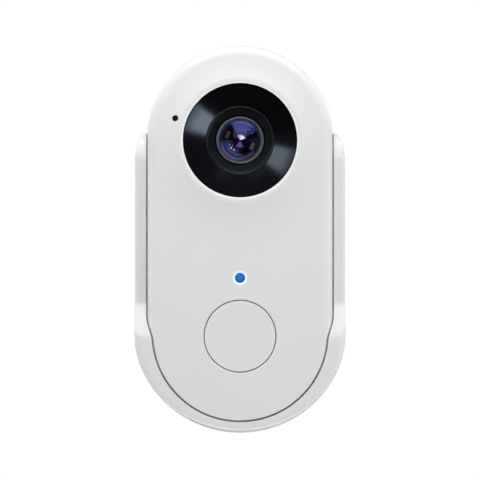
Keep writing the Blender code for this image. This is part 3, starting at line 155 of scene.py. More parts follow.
# ---- sizes and colours ---------------------------------------------------
def length(name, description, default):
    """A size that the user can change, in metres."""
    return bpy.props.FloatProperty(
        name=name, description=description, default=default, min=0.0,
        unit="LENGTH", precision=5)


def colour(name, description, default):
    """A colour that the user can change."""
    return bpy.props.FloatVectorProperty(
        name=name, description=description, default=default, size=3,
        min=0.0, max=1.0, subtype="COLOR")


class DoorbellBodySizes(bpy.types.PropertyGroup):
    """Sizes of the housing."""
    hill_height: length(
        "Hill height", "Rise of the field round the camera over the flat face", 1.2 * MM)
    hill_radius: length(
        "Hill radius", "Where the raised field meets the flat face", 34 * MM)
    edge_radius: length(
        "Edge radius", "Round between the face and the side walls", 3 * MM)
    wall: length("Wall", "Thickness of the housing's walls", 2 * MM)
    ring_radius: length(
        "Ring radius", "Outer edge of the level ring round the camera", 19.5 * MM)
    # the lip's brightness is a painted highlight, a lighter base colour in housing_plastic
    lip_drop: length("Lip drop", "Bright lip below that ring", 0.06 * MM)
    opening_radius: length(
        "Opening radius", "Hole in the face for the black funnel", 18 * MM)
    seat_radius: length("Seat radius", "Ledge that the funnel rests on", 16 * MM)
    hole_round: length(
        "Hole round", "Small round on the edges of holes in the face", 0.25 * MM)


class DoorbellCradleSizes(bpy.types.PropertyGroup):
    """Sizes of the wall cradle."""
    slide_gap: length("Slide gap", "Air between the body and the cradle", 0.35 * MM)
    plate: length("Plate", "Thickness of the back plate", 3 * MM)
    arm_front: length("Arm front", "How far the arms reach out of the wall", 26.5 * MM)
    tip_height: length("Tip height", "Height of the rounded arm tips", 8.4 * MM)
    tip_depth: length("Tip depth", "How far the arm tips lean back", 8 * MM)
    blend_top: length(
        "Blend top", "Top of the slope from cup to arm, over the lower centre", 9.1 * MM)
    blend_bottom: length(
        "Blend bottom", "Bottom of that slope, under the lower centre", 2.2 * MM)
    edge_radius: length("Edge radius", "Round on the outer front edge", 0.9 * MM)
    lip_radius: length("Lip radius", "Round on the inner front edge", 0.12 * MM)


class DoorbellCameraSizes(bpy.types.PropertyGroup):
    """Sizes of the camera window."""
    rim_drop: length("Rim drop", "Funnel rim below the flat face", 1.0 * MM)
    floor_drop: length("Floor drop", "Funnel floor below the flat face", 4.8 * MM)
    floor_radius: length("Floor radius", "Flat ring at the bottom of the funnel", 10.2 * MM)
    glass_sag: length("Glass sag", "Rise of the front lens over its rim", 2.2 * MM)
    thread_pitch: length("Thread pitch", "Pitch of the barrel's focus thread", 0.5 * MM)


class DoorbellButtonSizes(bpy.types.PropertyGroup):
    """Sizes of the call button and the status light."""
    gap: length("Gap", "Air round the button", 0.3 * MM)
    dish: length("Dish", "Depth of the hollow in the button's face", 0.12 * MM)
    edge_radius: length("Edge radius", "Round on the button's edge", 0.35 * MM)
    light_gap: length("Light gap", "Air round the light pipe", 0.1 * MM)


class DoorbellColours(bpy.types.PropertyGroup):
    """Colours of the main finishes."""
    housing: colour("Housing", "Moulded light grey plastic", (0.80, 0.80, 0.805))
    funnel: colour("Funnel", "Polished black plastic", (0.0025, 0.0025, 0.003))
    light: colour("Light", "Status light", (0.003, 0.115, 0.44))
    flap: colour("Flap", "Soft cover over the charging port", (0.62, 0.62, 0.63))


class DoorbellStage(bpy.types.PropertyGroup):
    """Place of the camera and strength of the lamps."""
    distance: length("Distance", "Camera to the face of the doorbell", 5.0)
    width: length("Width", "Width of the view at the face", 148.8 * MM)
    height: bpy.props.FloatProperty(
        name="Height", description="Height of the camera over the model's origin",
        default=-1.24 * MM, unit="LENGTH", precision=5)
    brightness: bpy.props.FloatProperty(
        name="Brightness", description="Strength of all lamps together",
        default=1.0, min=0.0)


GROUPS = {
    "doorbell_body": DoorbellBodySizes,
    "doorbell_cradle": DoorbellCradleSizes,
    "doorbell_camera": DoorbellCameraSizes,
    "doorbell_button": DoorbellButtonSizes,
    "doorbell_colours": DoorbellColours,
    "doorbell_stage": DoorbellStage,
}


# ---- surfaces ------------------------------------------------------------
def to_world(across, up, depth):
    """Points of the model's frame: x is across, y is minus depth, z is up."""
    across, up, depth = np.broadcast_arrays(across, up, depth)
    return np.stack([across, -depth, up], axis=-1).astype(float)


def add_object(name, data):
    """New object in the scene, at the origin."""
    made = bpy.data.objects.new(name, data)
    bpy.context.scene.collection.objects.link(made)
    return made


def skin(name, rows, wrap=False):
    """Mesh object over a grid of points, shaped (rows, columns, 3).

    Columns run round and close on themselves. Rows close too when wrap is
    set; otherwise the first and last row lie on a point or a fold, and the
    doubled points there are merged.
    """
    grid = np.asarray(rows, float)
    count, across = grid.shape[:2]
    index = np.arange(count * across).reshape(count, across)
    following = np.roll(index, -1, axis=0) if wrap else index[1:]
    first = index if wrap else index[:-1]
    quads = np.stack([first, np.roll(first, -1, axis=1),
                      np.roll(following, -1, axis=1), following], axis=-1)
    mesh = bpy.data.meshes.new(name)
    mesh.from_pydata(grid.reshape(-1, 3), [], quads.reshape(-1, 4).tolist())
    bm = bmesh.new()
    bm.from_mesh(mesh)
    bmesh.ops.remove_doubles(bm, verts=bm.verts, dist=2e-6)
    bmesh.ops.recalc_face_normals(bm, faces=bm.faces)
    bm.to_mesh(mesh)
    bm.free()
    return shade(add_object(name, mesh))


def shade(piece):
    """Smooth shading that stays sharp where faces meet at a steep angle."""
    piece.data.shade_smooth()
    piece.data.set_sharp_from_angle(angle=SHARP_ANGLE)
    return piece


def rounded(corners, closed=False, steps=5):
    """Outline through (x, y, radius) corners, each rounded by a parabola.

    The parabola touches both sides at the same distance from the corner, and
    takes at most 0.48 of the shorter side.
    """
    spots = np.array([corner[:2] for corner in corners], float)
    share = np.linspace(0, 1, steps + 1)[:, None]
    points = []
    count = len(corners)
    for i, corner in enumerate(corners):
        radius = corner[2] if len(corner) > 2 else 0.0
        inside = closed or 0 < i < count - 1
        if radius <= 0 or not inside:
            points.append(spots[i][None])
            continue
        back = spots[i - 1] - spots[i]
        ahead = spots[(i + 1) % count] - spots[i]
        long_back, long_ahead = np.hypot(*back), np.hypot(*ahead)
        turn = math.acos(max(-1, min(1, back @ ahead / long_back / long_ahead)))
        touch = min(radius / math.tan(turn / 2), 0.48 * long_back, 0.48 * long_ahead)
        start = spots[i] + back / long_back * touch
        end = spots[i] + ahead / long_ahead * touch
        points.append((1 - share) ** 2 * start + 2 * share * (1 - share) * spots[i]
                      + share ** 2 * end)
    return np.concatenate(points)


def circle(centre, radius, steps):
    """Across and up of points round a circle: centre + radius * (cos, sin) of the turn.

    The radius may be a column, for one circle in each row.
    """
    turn = (np.arange(steps) + 0.5) * (2 * math.pi / steps)
    return centre[0] + radius * np.cos(turn), centre[1] + radius * np.sin(turn)


def turned(name, centre, profile, steps=120, wrap=False):
    """A profile of (radius, depth) points carried round an axis out of the wall."""
    profile = np.asarray(profile, float)
    across, up = circle(centre, profile[:, :1], steps)
    return skin(name, to_world(across, up, profile[:, 1:2]), wrap)


def rod(name, centre, radius, low, high, steps=120):
    """Plain round bar from one depth to another."""
    return turned(name, centre, [(0, low), (radius, low), (radius, high), (0, high)], steps)


def on_wall(first, second, run):
    """Outline in (across, up), carried along depth."""
    return to_world(first, second, run)


def on_side(first, second, run):
    """Outline in (depth, up), carried across."""
    return to_world(run, second, first)


def on_floor(first, second, run):
    """Outline in (across, depth), carried upwards."""
    return to_world(first, run, second)


def prism(name, outline, profile, lay=on_wall):
    """An outline carried along a straight run and closed at both ends.

    profile is (inset share, run) pairs: the outline shrinks towards its middle
    by that share, and 1 is the middle itself.
    """
    outline = np.asarray(outline, float)
    middle = outline.mean(axis=0)
    shrink = np.array([share for share, _ in profile])[:, None]
    run = np.array([place for _, place in profile])[:, None]
    first = middle[0] + (outline[:, 0] - middle[0]) * (1 - shrink)
    second = middle[1] + (outline[:, 1] - middle[1]) * (1 - shrink)
    return skin(name, lay(first, second, run))


def bar_profile(low, high):
    """Straight run between two flat ends."""
    return [(1, low), (0, low), (0, high), (1, high)]


def box_outline(low, high, radius, steps=6):
    """Rectangle with rounded corners."""
    (left, bottom), (right, top) = low, high
    return rounded([(left, bottom, radius), (right, bottom, radius),
                    (right, top, radius), (left, top, radius)], True, steps)




def combine(piece, operation, helpers):
    """Cut helpers from a piece, or join them to it, and remove them.

    A small face that the cut lost is filled again.
    """
    for number, helper in enumerate(helpers):
        step = piece.modifiers.new(f"step_{number}", "BOOLEAN")
        step.operation = operation
        step.solver = "EXACT"
        step.object = helper
    bpy.context.view_layer.update()
    seen = piece.evaluated_get(bpy.context.evaluated_depsgraph_get())
    result = bpy.data.meshes.new_from_object(seen)
    result.name = piece.name
    piece.modifiers.clear()
    piece.data = result
    for helper in helpers:
        bpy.data.objects.remove(helper, do_unlink=True)
    bm = bmesh.new()
    bm.from_mesh(result)
    bmesh.ops.dissolve_degenerate(bm, edges=bm.edges, dist=1e-7)
    lost = [edge for edge in bm.edges if edge.is_boundary]
    bmesh.ops.holes_fill(bm, edges=lost, sides=8)
    bm.to_mesh(result)
    bm.free()
    return shade(piece)


def finished(piece, body, slot, material, *nodes):
    """Give a piece its finish and its body, and hide the solids that it stands for."""
    piece.data.materials.clear()
    piece.data.materials.append(material)
    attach(piece, body)
    if nodes:
        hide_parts(*nodes)
    return piece


# ---- body outline --------------------------------------------------------
def outline(inset=0.0):
    """Race-track outline as (across, up): two half circles and two sides.

    The inset is one number, or one for each column.
    """
    radius = BODY_RADIUS - inset
    turn = np.linspace(0, math.pi, ROUND_STEPS + 1)
    side = np.linspace(UPPER_ARC, LOWER_ARC, SIDE_STEPS + 1)[1:-1]
    ends = np.ones(side.size)
    across = radius * np.concatenate([np.cos(turn), -ends, -np.cos(turn), ends])
    bulge = radius * np.concatenate([np.sin(turn), 0 * ends, -np.sin(turn), 0 * ends])
    base = np.concatenate([np.full(turn.size, UPPER_ARC), side,
                           np.full(turn.size, LOWER_ARC), side[::-1]])
    return across, base + bulge


def lens_circle(radius):
    """Circle round the lens with one point in the direction of each outline point."""
    across, up = outline()
    turn = np.arctan2(up - LENS_UP, across)
    return radius * np.cos(turn), LENS_UP + radius * np.sin(turn)


def hill(across, up, body):
    """Fall from the camera ring to the flat face: height * (1 - share) ** 2.5."""
    distance = np.hypot(across, up - LENS_UP)
    share = (distance - body.ring_radius) / (body.hill_radius - body.ring_radius)
    return body.hill_height * (1 - np.clip(share, 0, 1)) ** HILL_FALL


def level(points, depth):
    """Row of points at one depth."""
    return to_world(points[0], points[1], depth)


def face_depth(body):
    """Depth of the flat face, away from the raised field."""
    return SHELL_HIGH[2] - body.hill_height


# ---- housing -------------------------------------------------------------
def lip_edge(body):
    """Outer edge of the lip round the camera opening, where the painted highlight ends."""
    return body.opening_radius + LIP_WIDTH


def edge_rows(body, cradle, flat):
    """The round between face and side wall, stepped where the cradle laps over it.

    Above the cradle it is a quarter circle, depth = low + top * cos(turn), at an
    inset of radius * (1 - sin(turn)). Where the cradle's lip reaches in over the
    body, the face stays flat up to a step, and the lip lies in the step with a
    thin gap, level with the face.
    """
    radius = body.edge_radius
    face = face_depth(body)
    low = face - radius
    rise = hill(flat[0], flat[1], body)
    wall = CRADLE_HALF - BODY_RADIUS - cradle.slide_gap
    above = outline(-cradle.slide_gap - wall / 2)[1]
    lip = inner_reach(arm_depth(above, cradle), cradle, body)
    step = BODY_RADIUS + cradle.slide_gap - lip
    flatness = step / step.max()
    step = step + CUP_LAP * flatness
    last = np.arcsin(1 - step / radius)
    rows = []
    for part in np.linspace(0, 1, EDGE_ROWS)[1:]:
        turn = last * part
        inset = radius * (1 - np.sin(turn))
        drop = radius + rise - (radius + rise) * np.cos(turn)
        depth = face + rise - drop * (1 - flatness)
        rows.append((inset, depth))
    inset, depth = rows.pop()
    round_edge = np.minimum(0.12 * MM, 0.3 * step)
    groove = np.minimum(GROOVE, 2.2 * step)
    rows += [(inset + round_edge, depth), (inset, depth - round_edge),
             (inset, depth - 0.5 * groove), (inset, depth - groove),
             (0 * inset, low + 0 * depth)]
    points = []
    for inset, depth in rows:
        across, up = outline(inset)
        points.append(to_world(across, up, depth))
    return points


def shell_skin(body, button, cradle):
    """Front shell: rings round the lens, over the face and edge, and back inside.

    Rows run from the camera opening over the lip and the level ring, along
    straight lines to the outline, over the edge and down the side wall. A row's
    depth on the face is the flat face plus the hill.
    """
    face = face_depth(body)
    split = SHELL_LOW[2]
    low = face - body.edge_radius
    inside = face - body.wall
    seat = face - FUNNEL_SEAT
    collar = seat - COLLAR
    crest = SHELL_HIGH[2] - 0.002 * MM
    lip_front = crest - body.lip_drop
    lip = body.opening_radius - 0.25 * MM
    rows = []
    for radius, depth in rounded([
            (body.seat_radius, collar), (body.seat_radius, seat, 0.15 * MM),
            (body.opening_radius, seat),
            (body.opening_radius, face - 0.5 * MM), (lip, face - 0.3 * MM),
            (lip, lip_front, 0.14 * MM), (lip_edge(body), lip_front, 0.04 * MM),
            (lip_edge(body) + LIP_RISE, crest, 0.04 * MM),
            (body.ring_radius, crest)], steps=6):
        rows.append(level(lens_circle(radius), depth))
    ring = np.array(lens_circle(body.ring_radius))
    flat = np.array(outline(body.edge_radius))
    for share in np.linspace(0, 1, FACE_ROWS)[1:] ** FACE_CROWDING:
        across, up = ring + share * (flat - ring)
        rows.append(to_world(across, up, face + hill(across, up, body)))
    rows += edge_rows(body, cradle, flat)
    for depth in np.linspace(low, split + 0.25 * MM, WALL_ROWS)[1:]:
        rows.append(level(outline(), depth))
    rows.append(level(outline(0.08 * MM), split + 0.07 * MM))
    rows.append(level(outline(0.25 * MM), split))
    rows.append(level(outline(body.wall), split))
    rows.append(level(outline(body.wall), inside))
    rows.append(level(lens_circle(body.ring_radius), inside))
    rows.append(level(lens_circle(body.ring_radius), collar))
    piece = skin("shell_skin", rows, wrap=True)
    helpers = [hole("button_well", BUTTON_CENTRE, BUTTON_REACH + button.gap,
                    inside, face, body.hole_round),
               hole("light_well", LIGHT_CENTRE, LIGHT_REACH + button.light_gap,
                    inside, face, body.hole_round),
               hole("mic_well", MIC_CENTRE, MIC_HOLE, inside,
                    face + float(hill(*MIC_CENTRE, body)), 0.2 * MM, steps=40)]
    for middle, count in SOUND_SLOTS:
        for i in range(count):
            up = middle + (i - (count - 1) / 2) * SLOT_PITCH
            slot = box_outline((face - SLOT_DEPTHS[0], up - SLOT_HALF),
                               (face - SLOT_DEPTHS[1], up + SLOT_HALF), SLOT_HALF)
            helpers.append(prism(f"slot_{up:.4f}", slot, bar_profile(
                -BODY_RADIUS - MM, -BODY_RADIUS + body.wall + 0.6 * MM), on_side))
    return combine(piece, "DIFFERENCE", helpers + rail_grooves())


def hole(name, centre, radius, back, front, fillet, steps=96):
    """Turned cutter whose mouth flares by a quarter round at the front."""
    turn = np.linspace(0, math.pi / 2, 7)
    profile = [(0, back - MM), (radius, back - MM), (radius, front - fillet)]
    profile += [(radius + fillet * (1 - math.cos(a)), front - fillet * (1 - math.sin(a)))
                for a in turn[1:]]
    profile += [(radius + fillet, front + 3 * MM), (0, front + 3 * MM)]
    return turned(name, centre, profile, steps)


def rail_grooves():
    """Grooves in the sides of the shell that run on the cradle's rails."""
    cutters = []
    for side in (-1, 1):
        floor, outside = side * (BODY_RADIUS - RAIL_HEIGHT), side * (BODY_RADIUS + MM)
        groove = box_outline((RAIL[0] - 0.35 * MM, LOWER_ARC - BODY_RADIUS - MM),
                             (RAIL[1] + 0.35 * MM, RAIL_UPS[1] + 0.7 * MM), 0.3 * MM)
        cutters.append(prism(f"groove_{side}", groove, bar_profile(
            min(floor, outside), max(floor, outside)), on_side))
    return cutters


def cover_skin(body):
    """Rear cover: a tray whose rows run from the middle fold out, round and back in."""
    back, top = COVER_LOW[2], COVER_HIGH[2]
    floor = back + body.wall
    round_edge = 1.2 * MM
    section = rounded([(BODY_RADIUS, back), (0, back, round_edge), (0, top, 0.2 * MM),
                       (body.wall, top, 0.2 * MM), (body.wall, floor, 0.5 * MM),
                       (BODY_RADIUS, floor)], steps=8)
    rows = []
    for first, second in zip(section[:-1], section[1:]):
        pieces = 12 if abs(second[0] - first[0]) > 5 * MM else 1
        for share in np.arange(pieces) / pieces:
            inset, depth = first + share * (second - first)
            rows.append(level(outline(inset), depth))
    rows.append(level(outline(section[-1][0]), section[-1][1]))
    piece = skin("cover_skin", rows)
    gap = 0.3 * MM
    middle = (FLAP_LOW[1] + FLAP_HIGH[1]) / 2
    pocket = box_outline((FLAP_LOW[0] - gap, FLAP_LOW[1] - gap),
                         (FLAP_HIGH[0] + gap, FLAP_HIGH[1] + gap), 2 * MM)
    wide, tall = SOCKET_MOUTH
    mouth = box_outline((-wide, middle - tall), (wide, middle + tall), tall - 0.05 * MM, 8)
    left, right, tall = KNOB_SLOT
    knob = box_outline((left, middle - tall), (right, middle + tall), 0.4 * MM)
    helpers = [prism("pocket", pocket, bar_profile(back - MM, back + POCKET_FLOOR)),
               prism("mouth", mouth, bar_profile(back, floor + MM)),
               prism("knob_slot", knob, bar_profile(back, floor + MM)),
               rod("reset_hole", (KEY_ACROSS, middle), KEY_HOLE, back, floor + MM)]
    seat = back + SCREW_SEAT
    flare = 0.25 * MM
    well = [(0, back - MM), (SCREW_WELL + flare, back - MM), (SCREW_WELL + flare, back),
            (SCREW_WELL, back + flare), (SCREW_WELL, seat), (SCREW_HOLE, seat),
            (SCREW_HOLE, floor + MM), (0, floor + MM)]
    for number in range(1, 5):
        centre = centre_of(f"case_screw_{number}")
        helpers.append(turned(f"screw_well_{number}", centre, well, 48))
    return combine(piece, "DIFFERENCE", helpers)


def screw_skin(number):
    """Pan head screw with a cross recess, turned and then cut by two bars."""
    node = f"case_screw_{number}"
    low, high = reach_of(node)
    centre = centre_of(node)
    radius = radius_of(node)
    head = low[2] + SCREW_HEAD
    profile = [*rounded([(0, low[2] - 0.001 * MM), (radius, low[2] + 0.02 * MM, 0.45 * MM),
                         (radius, head, 0.08 * MM), (SCREW_CREST, head)], steps=6)]
    run = np.arange(head + 0.3 * MM, high[2] - 1.2 * MM, 0.2 * MM)
    ridge = np.where(np.arange(run.size) % 2 == 0, SCREW_CREST, SCREW_ROOT)
    profile += list(zip(ridge, run))
    profile += [(0.5 * MM, high[2] - 0.2 * MM), (0, high[2])]
    piece = turned(f"case_screw_skin_{number}", centre, profile, 48)
    bars = []
    for wide, tall in ((1.15 * MM, 0.22 * MM), (0.22 * MM, 1.15 * MM)):
        cross = box_outline((centre[0] - wide, centre[1] - tall),
                            (centre[0] + wide, centre[1] + tall), 0.05 * MM, 2)
        bars.append(prism("recess", cross, [(1, low[2] - 0.2 * MM), (0, low[2] - 0.2 * MM),
                                            (0.35, low[2] + 0.75 * MM), (1, low[2] + 0.8 * MM)]))
    return combine(piece, "DIFFERENCE", bars)


# ---- cradle --------------------------------------------------------------
def arm_depth(up, sizes):
    """Front of the cradle at a height: cup, slope, arm, leaning tip.

    The slope is a quarter of a cosine wave, level at the cup, with a crease at
    the arm. The tip is a quarter of an ellipse.
    """
    cup = CRADLE_HIGH[2]
    bottom = LOWER_ARC - sizes.blend_bottom
    top = LOWER_ARC + sizes.blend_top
    shoulder = CRADLE_HIGH[1] - sizes.tip_height
    fall = 1 - np.cos(math.pi / 2 * np.clip((up - bottom) / (top - bottom), 0, 1))
    depth = cup + fall * (sizes.arm_front - cup)
    rise = np.clip((up - shoulder) / sizes.tip_height, 0, 1)
    return depth - sizes.tip_depth * (1 - np.sqrt(1 - rise ** 2))


def inner_reach(depth, sizes, body):
    """Inner face of the cradle's wall at a depth: straight, then round over the body."""
    bend = body.edge_radius + sizes.slide_gap
    over = np.clip(depth - (face_depth(body) - body.edge_radius), 0, bend)
    return BODY_RADIUS - body.edge_radius + np.sqrt(bend ** 2 - over ** 2)


def cradle_path():
    """Stations from the left tip down round the cup to the right tip.

    Each is (side, drop, base, taper): the inner wall lies at reach times
    (side, drop) over base, and taper thins the wall in the tips.
    """
    sizes = bpy.context.scene.doorbell_cradle
    shoulder = CRADLE_HIGH[1] - sizes.tip_height
    lean = np.linspace(math.pi / 2, 0, 25)
    side = np.linspace(shoulder, LOWER_ARC, 70)[1:-1]
    turn = np.linspace(math.pi, 2 * math.pi, 121)
    left = np.stack([
        np.full(lean.size + side.size, -1.0), np.zeros(lean.size + side.size),
        np.concatenate([shoulder + sizes.tip_height * np.sin(lean), side]),
        np.concatenate([np.maximum(np.cos(lean), 0.05), np.ones(side.size)])])
    cup = np.stack([np.cos(turn), np.sin(turn), np.full(turn.size, LOWER_ARC),
                    np.ones(turn.size)])
    right = left[:, ::-1] * np.array([[-1.0], [1.0], [1.0], [1.0]])
    return np.concatenate([left, cup, right], axis=1)


def cradle_wall(sizes, body):
    """The U-shaped wall: one section carried from tip to tip.

    Across a section, share 0 is the wall that faces the body and share 1 the
    outside. The front follows arm_depth; both front edges are quarter rounds
    that never take more than their part of the wall.
    """
    side, drop, base, taper = cradle_path()
    reach = BODY_RADIUS + sizes.slide_gap
    back = CRADLE_LOW[2]
    thick = CRADLE_HALF - reach
    middle_up = base + drop * (reach + thick / 2)
    front = arm_depth(middle_up, sizes)
    outer_round = np.minimum(sizes.edge_radius * (1 + 0.5 * (drop < 0)), 0.5 * thick * taper)
    inner_round = np.minimum(sizes.lip_radius, 0.3 * thick * taper)
    wide = np.maximum(thick * taper, 1e-7)
    share, depth = [], []

    def row(across_wall, out_of_wall):
        share.append(np.broadcast_to(across_wall, side.shape))
        depth.append(np.broadcast_to(out_of_wall, side.shape))

    edge = np.minimum(0.4 * MM, 0.4 * wide)
    row(0.0, back)
    row(0.5, back)
    row(1 - edge / wide, back)
    row(1 - 0.3 * edge / wide, back + 0.3 * edge)
    for part in np.linspace(0, 1, 16):
        row(1.0, back + edge + part * (front - outer_round - back - edge))
    for turn in np.radians(np.arange(10, 91, 10)):
        row(1 - outer_round / wide * (1 - math.cos(turn)),
            front - outer_round * (1 - math.sin(turn)))
    for part in (0.33, 0.66):
        inner = inner_round / wide
        outer = 1 - outer_round / wide
        row(outer + part * (inner - outer), front)
    for turn in np.radians(np.arange(90, -1, -18)):
        row(inner_round / wide * (1 - math.cos(turn)), front - inner_round * (1 - math.sin(turn)))
    for part in np.linspace(0, 1, 16)[1:-1]:
        row(0.0, front - inner_round + part * (back - front + inner_round))
    share, depth = np.array(share), np.array(depth)
    inner = inner_reach(depth, sizes, body)
    marks = (back, sizes.arm_front, CRADLE_HIGH[2])
    grow = np.interp(depth, marks, (0.0, 0.1 * MM, CRADLE_HIGH[0] - CRADLE_HALF))
    fall = np.interp(depth, marks, CUP_DROPS)
    inner_across, inner_up = side * inner, base + drop * inner
    outer_across = side * (reach + (thick + grow) * taper)
    outer_up = base + drop * fall
    across = inner_across + share * (outer_across - inner_across)
    up = inner_up + share * (outer_up - inner_up)
    points = to_world(across, up, depth)
    return skin("cradle_skin", np.swapaxes(close_ends(points), 0, 1))


def close_ends(points):
    """Add a column at each tip in which the section is drawn to its middle."""
    first = points[:, :1].mean(axis=0, keepdims=True) + 0 * points[:, :1]
    last = points[:, -1:].mean(axis=0, keepdims=True) + 0 * points[:, -1:]
    return np.concatenate([first, points, last], axis=1)


def cradle_plate(sizes):
    """Back plate inside the wall: rows from a fold on the middle line outwards."""
    side, drop, base, taper = cradle_path()
    reach = BODY_RADIUS + sizes.slide_gap
    thick = (CRADLE_HALF - reach) * taper
    edge = reach + 0.45 * thick
    across = side * edge
    up = base + drop * edge
    top = np.linspace(across[-1], across[0], 41)[1:-1]
    across = np.concatenate([across, top])
    up = np.concatenate([up, np.full(top.size, CRADLE_HIGH[1])])
    fold = np.clip(up, LOWER_ARC, CRADLE_HIGH[1] - 2 * MM)
    back, front = CRADLE_LOW[2] + 0.04 * MM, CRADLE_LOW[2] + sizes.plate
    parts = np.linspace(0, 0.995, 10)
    section = [*((part, back) for part in parts), (1.0, back + 0.2 * MM),
               (1.0, front - 0.2 * MM), *((part, front) for part in parts[::-1])]
    return skin("cradle_plate", [to_world(across * part, fold + (up - fold) * part, depth)
                                 for part, depth in section])


def cradle_skin(sizes, body):
    """Wall, back plate and rails joined, with recess, window and holes cut."""
    wall = cradle_wall(sizes, body)
    helpers = [cradle_plate(sizes)]
    reach = BODY_RADIUS + sizes.slide_gap
    for side in (-1, 1):
        rail = box_outline((RAIL[0], RAIL_UPS[0]), (RAIL[1], RAIL_UPS[1]), 0.5 * MM)
        ends = sorted((side * (reach - RAIL_HEIGHT), side * (reach + 0.8 * MM)))
        helpers.append(prism(f"rail_{side}", rail, bar_profile(*ends), on_side))
    piece = combine(wall, "UNION", helpers)
    plate_front = CRADLE_LOW[2] + sizes.plate
    gap = 0.3 * MM
    recess = box_outline((PAD_LOW[0] - gap, PAD_LOW[1] - gap),
                         (PAD_HIGH[0] + gap, PAD_HIGH[1] + gap), 5 * MM)
    wide, room = WINDOW
    window = box_outline((-wide, FLAP_LOW[1] - room), (wide, FLAP_HIGH[1] + room), 2.5 * MM)
    cutters = [prism("recess", recess, bar_profile(-MM, PAD_HIGH[2] + gap)),
               prism("window", window, bar_profile(-MM, plate_front + 0.4 * MM))]
    sink = [(0, -MM), (WALL_HOLE, -MM), (WALL_HOLE, plate_front - 2 * MM),
            (WALL_HEAD, plate_front - 0.2 * MM), (WALL_HEAD, plate_front + MM),
            (0, plate_front + MM)]
    for number, up in enumerate(WALL_SCREWS):
        cutters.append(turned(f"screw_{number}", (0, up), sink, 64))
    for side in (-1, 1):
        drain = np.stack(circle((side * DRAIN[0], SHELL_HIGH[2] / 2), DRAIN[1], 32), axis=-1)
        cutters.append(prism(f"drain_{side}", drain, bar_profile(
            CRADLE_LOW[1] - 4 * MM, LOWER_ARC - BODY_RADIUS + 4 * MM), on_floor))
    return combine(piece, "DIFFERENCE", cutters)


def pad_skin():
    """Foam pad with soft edges and two holes for the wall screws."""
    back, front = PAD_LOW[2], PAD_HIGH[2]
    pad = box_outline(PAD_LOW[:2], PAD_HIGH[:2], 4.7 * MM, 12)
    piece = prism("pad_skin", pad, [(1, back), (0.003, back), (0, back + 0.15 * MM),
                                    (0, front - 0.15 * MM), (0.003, front), (1, front)])
    cutters = [rod(f"pad_hole_{number}", (0, up), PAD_HOLE, -MM, front + MM, 64)
               for number, up in enumerate(WALL_SCREWS)]
    return combine(piece, "DIFFERENCE", cutters)


# ---- camera --------------------------------------------------------------
def funnel_skin(body, camera):
    """Black funnel: rim, hollow cone, step, flat ring and bore, turned once."""
    face = face_depth(body)
    rim = face - camera.rim_drop
    floor = face - camera.floor_drop
    seat = face - 3.0 * MM
    cone = np.linspace(0, 1, 24)
    start = np.array([body.opening_radius - 0.6 * MM, rim - 0.1 * MM])
    end = np.array([camera.floor_radius + 0.4 * MM, floor + 0.52 * MM])
    slope = start + cone[:, None] * (end - start)
    slope[:, 1] -= CONE_SAG * np.sin(math.pi * cone)
    profile = [
        *rounded([(body.seat_radius - 0.3 * MM, seat - 0.5 * MM),
                  (body.seat_radius - 0.3 * MM, seat), (body.opening_radius - 0.3 * MM, seat),
                  (body.opening_radius - 0.3 * MM, rim, 0.12 * MM),
                  (body.opening_radius - 0.6 * MM, rim, 0.1 * MM)], steps=5)[:-1],
        *slope,
        *rounded([(camera.floor_radius + 0.34 * MM, floor + 0.48 * MM),
                  (camera.floor_radius + 0.24 * MM, floor + 0.5 * MM, 0.08 * MM),
                  (camera.floor_radius - 0.5 * MM, floor, 0.2 * MM),
                  (bore_reach() + 0.15 * MM, floor, 0.1 * MM),
                  (bore_reach(), floor - 0.15 * MM, 0.1 * MM),
                  (bore_reach(), floor - 1.2 * MM),
                  (10.8 * MM, floor - 1.2 * MM)], steps=5)]
    return turned("funnel_skin", LENS_CENTRE, profile, 160, wrap=True)


def bore_reach():
    """Radius of the funnel's bore, with air round the barrel."""
    return radius_of("lens_barrel") + 0.3 * MM


def barrel_skin(camera):
    """Lens barrel with a stepped front and a fine thread on its shank."""
    low, high = reach_of("lens_barrel")
    radius = radius_of("lens_barrel")
    inner = radius_of("lens_front") + 0.3 * MM
    shoulder, end = high[2] - 4.4 * MM, low[2]
    root = THREAD_CREST - 0.25 * MM
    run = np.arange(shoulder - 0.5 * MM, end + 0.8 * MM, -camera.thread_pitch / 2)
    ridge = np.where(np.arange(run.size) % 2 == 0, THREAD_CREST, root)
    shank, bore, chamber, mouth = BARREL_STEPS
    ledge = high[2] - 1.8 * MM
    rim = high[2] - 0.02 * MM
    profile = [
        *rounded([(inner, rim), (radius - 0.02 * MM, rim, 0.1 * MM),
                  (radius, shoulder, 0.1 * MM), (root, shoulder)], steps=4),
        *zip(ridge, run),
        *rounded([(shank, end), (bore, end), (bore, end + 4.9 * MM), (chamber, end + 5.2 * MM),
                  (chamber, end + 9.0 * MM), (mouth, ledge), (inner, ledge)])]
    return turned("barrel_skin", LENS_CENTRE, profile, 120, wrap=True)


def lens_ring_skin():
    """Thin bright ring that holds the front lens, with both edges rounded."""
    low, high = reach_of("lens_ring")
    outer = radius_of("lens_ring")
    inner = radius_of("lens_front") + 0.12 * MM
    edge = 0.09 * MM
    profile = rounded([(inner, low[2], edge), (inner, high[2] - 0.12 * MM, edge),
                       (inner + 0.2 * MM, high[2], edge), (outer, high[2], edge),
                       (outer, low[2], edge)], True, 5)
    return turned("lens_ring_skin", LENS_CENTRE, profile, 160, wrap=True)


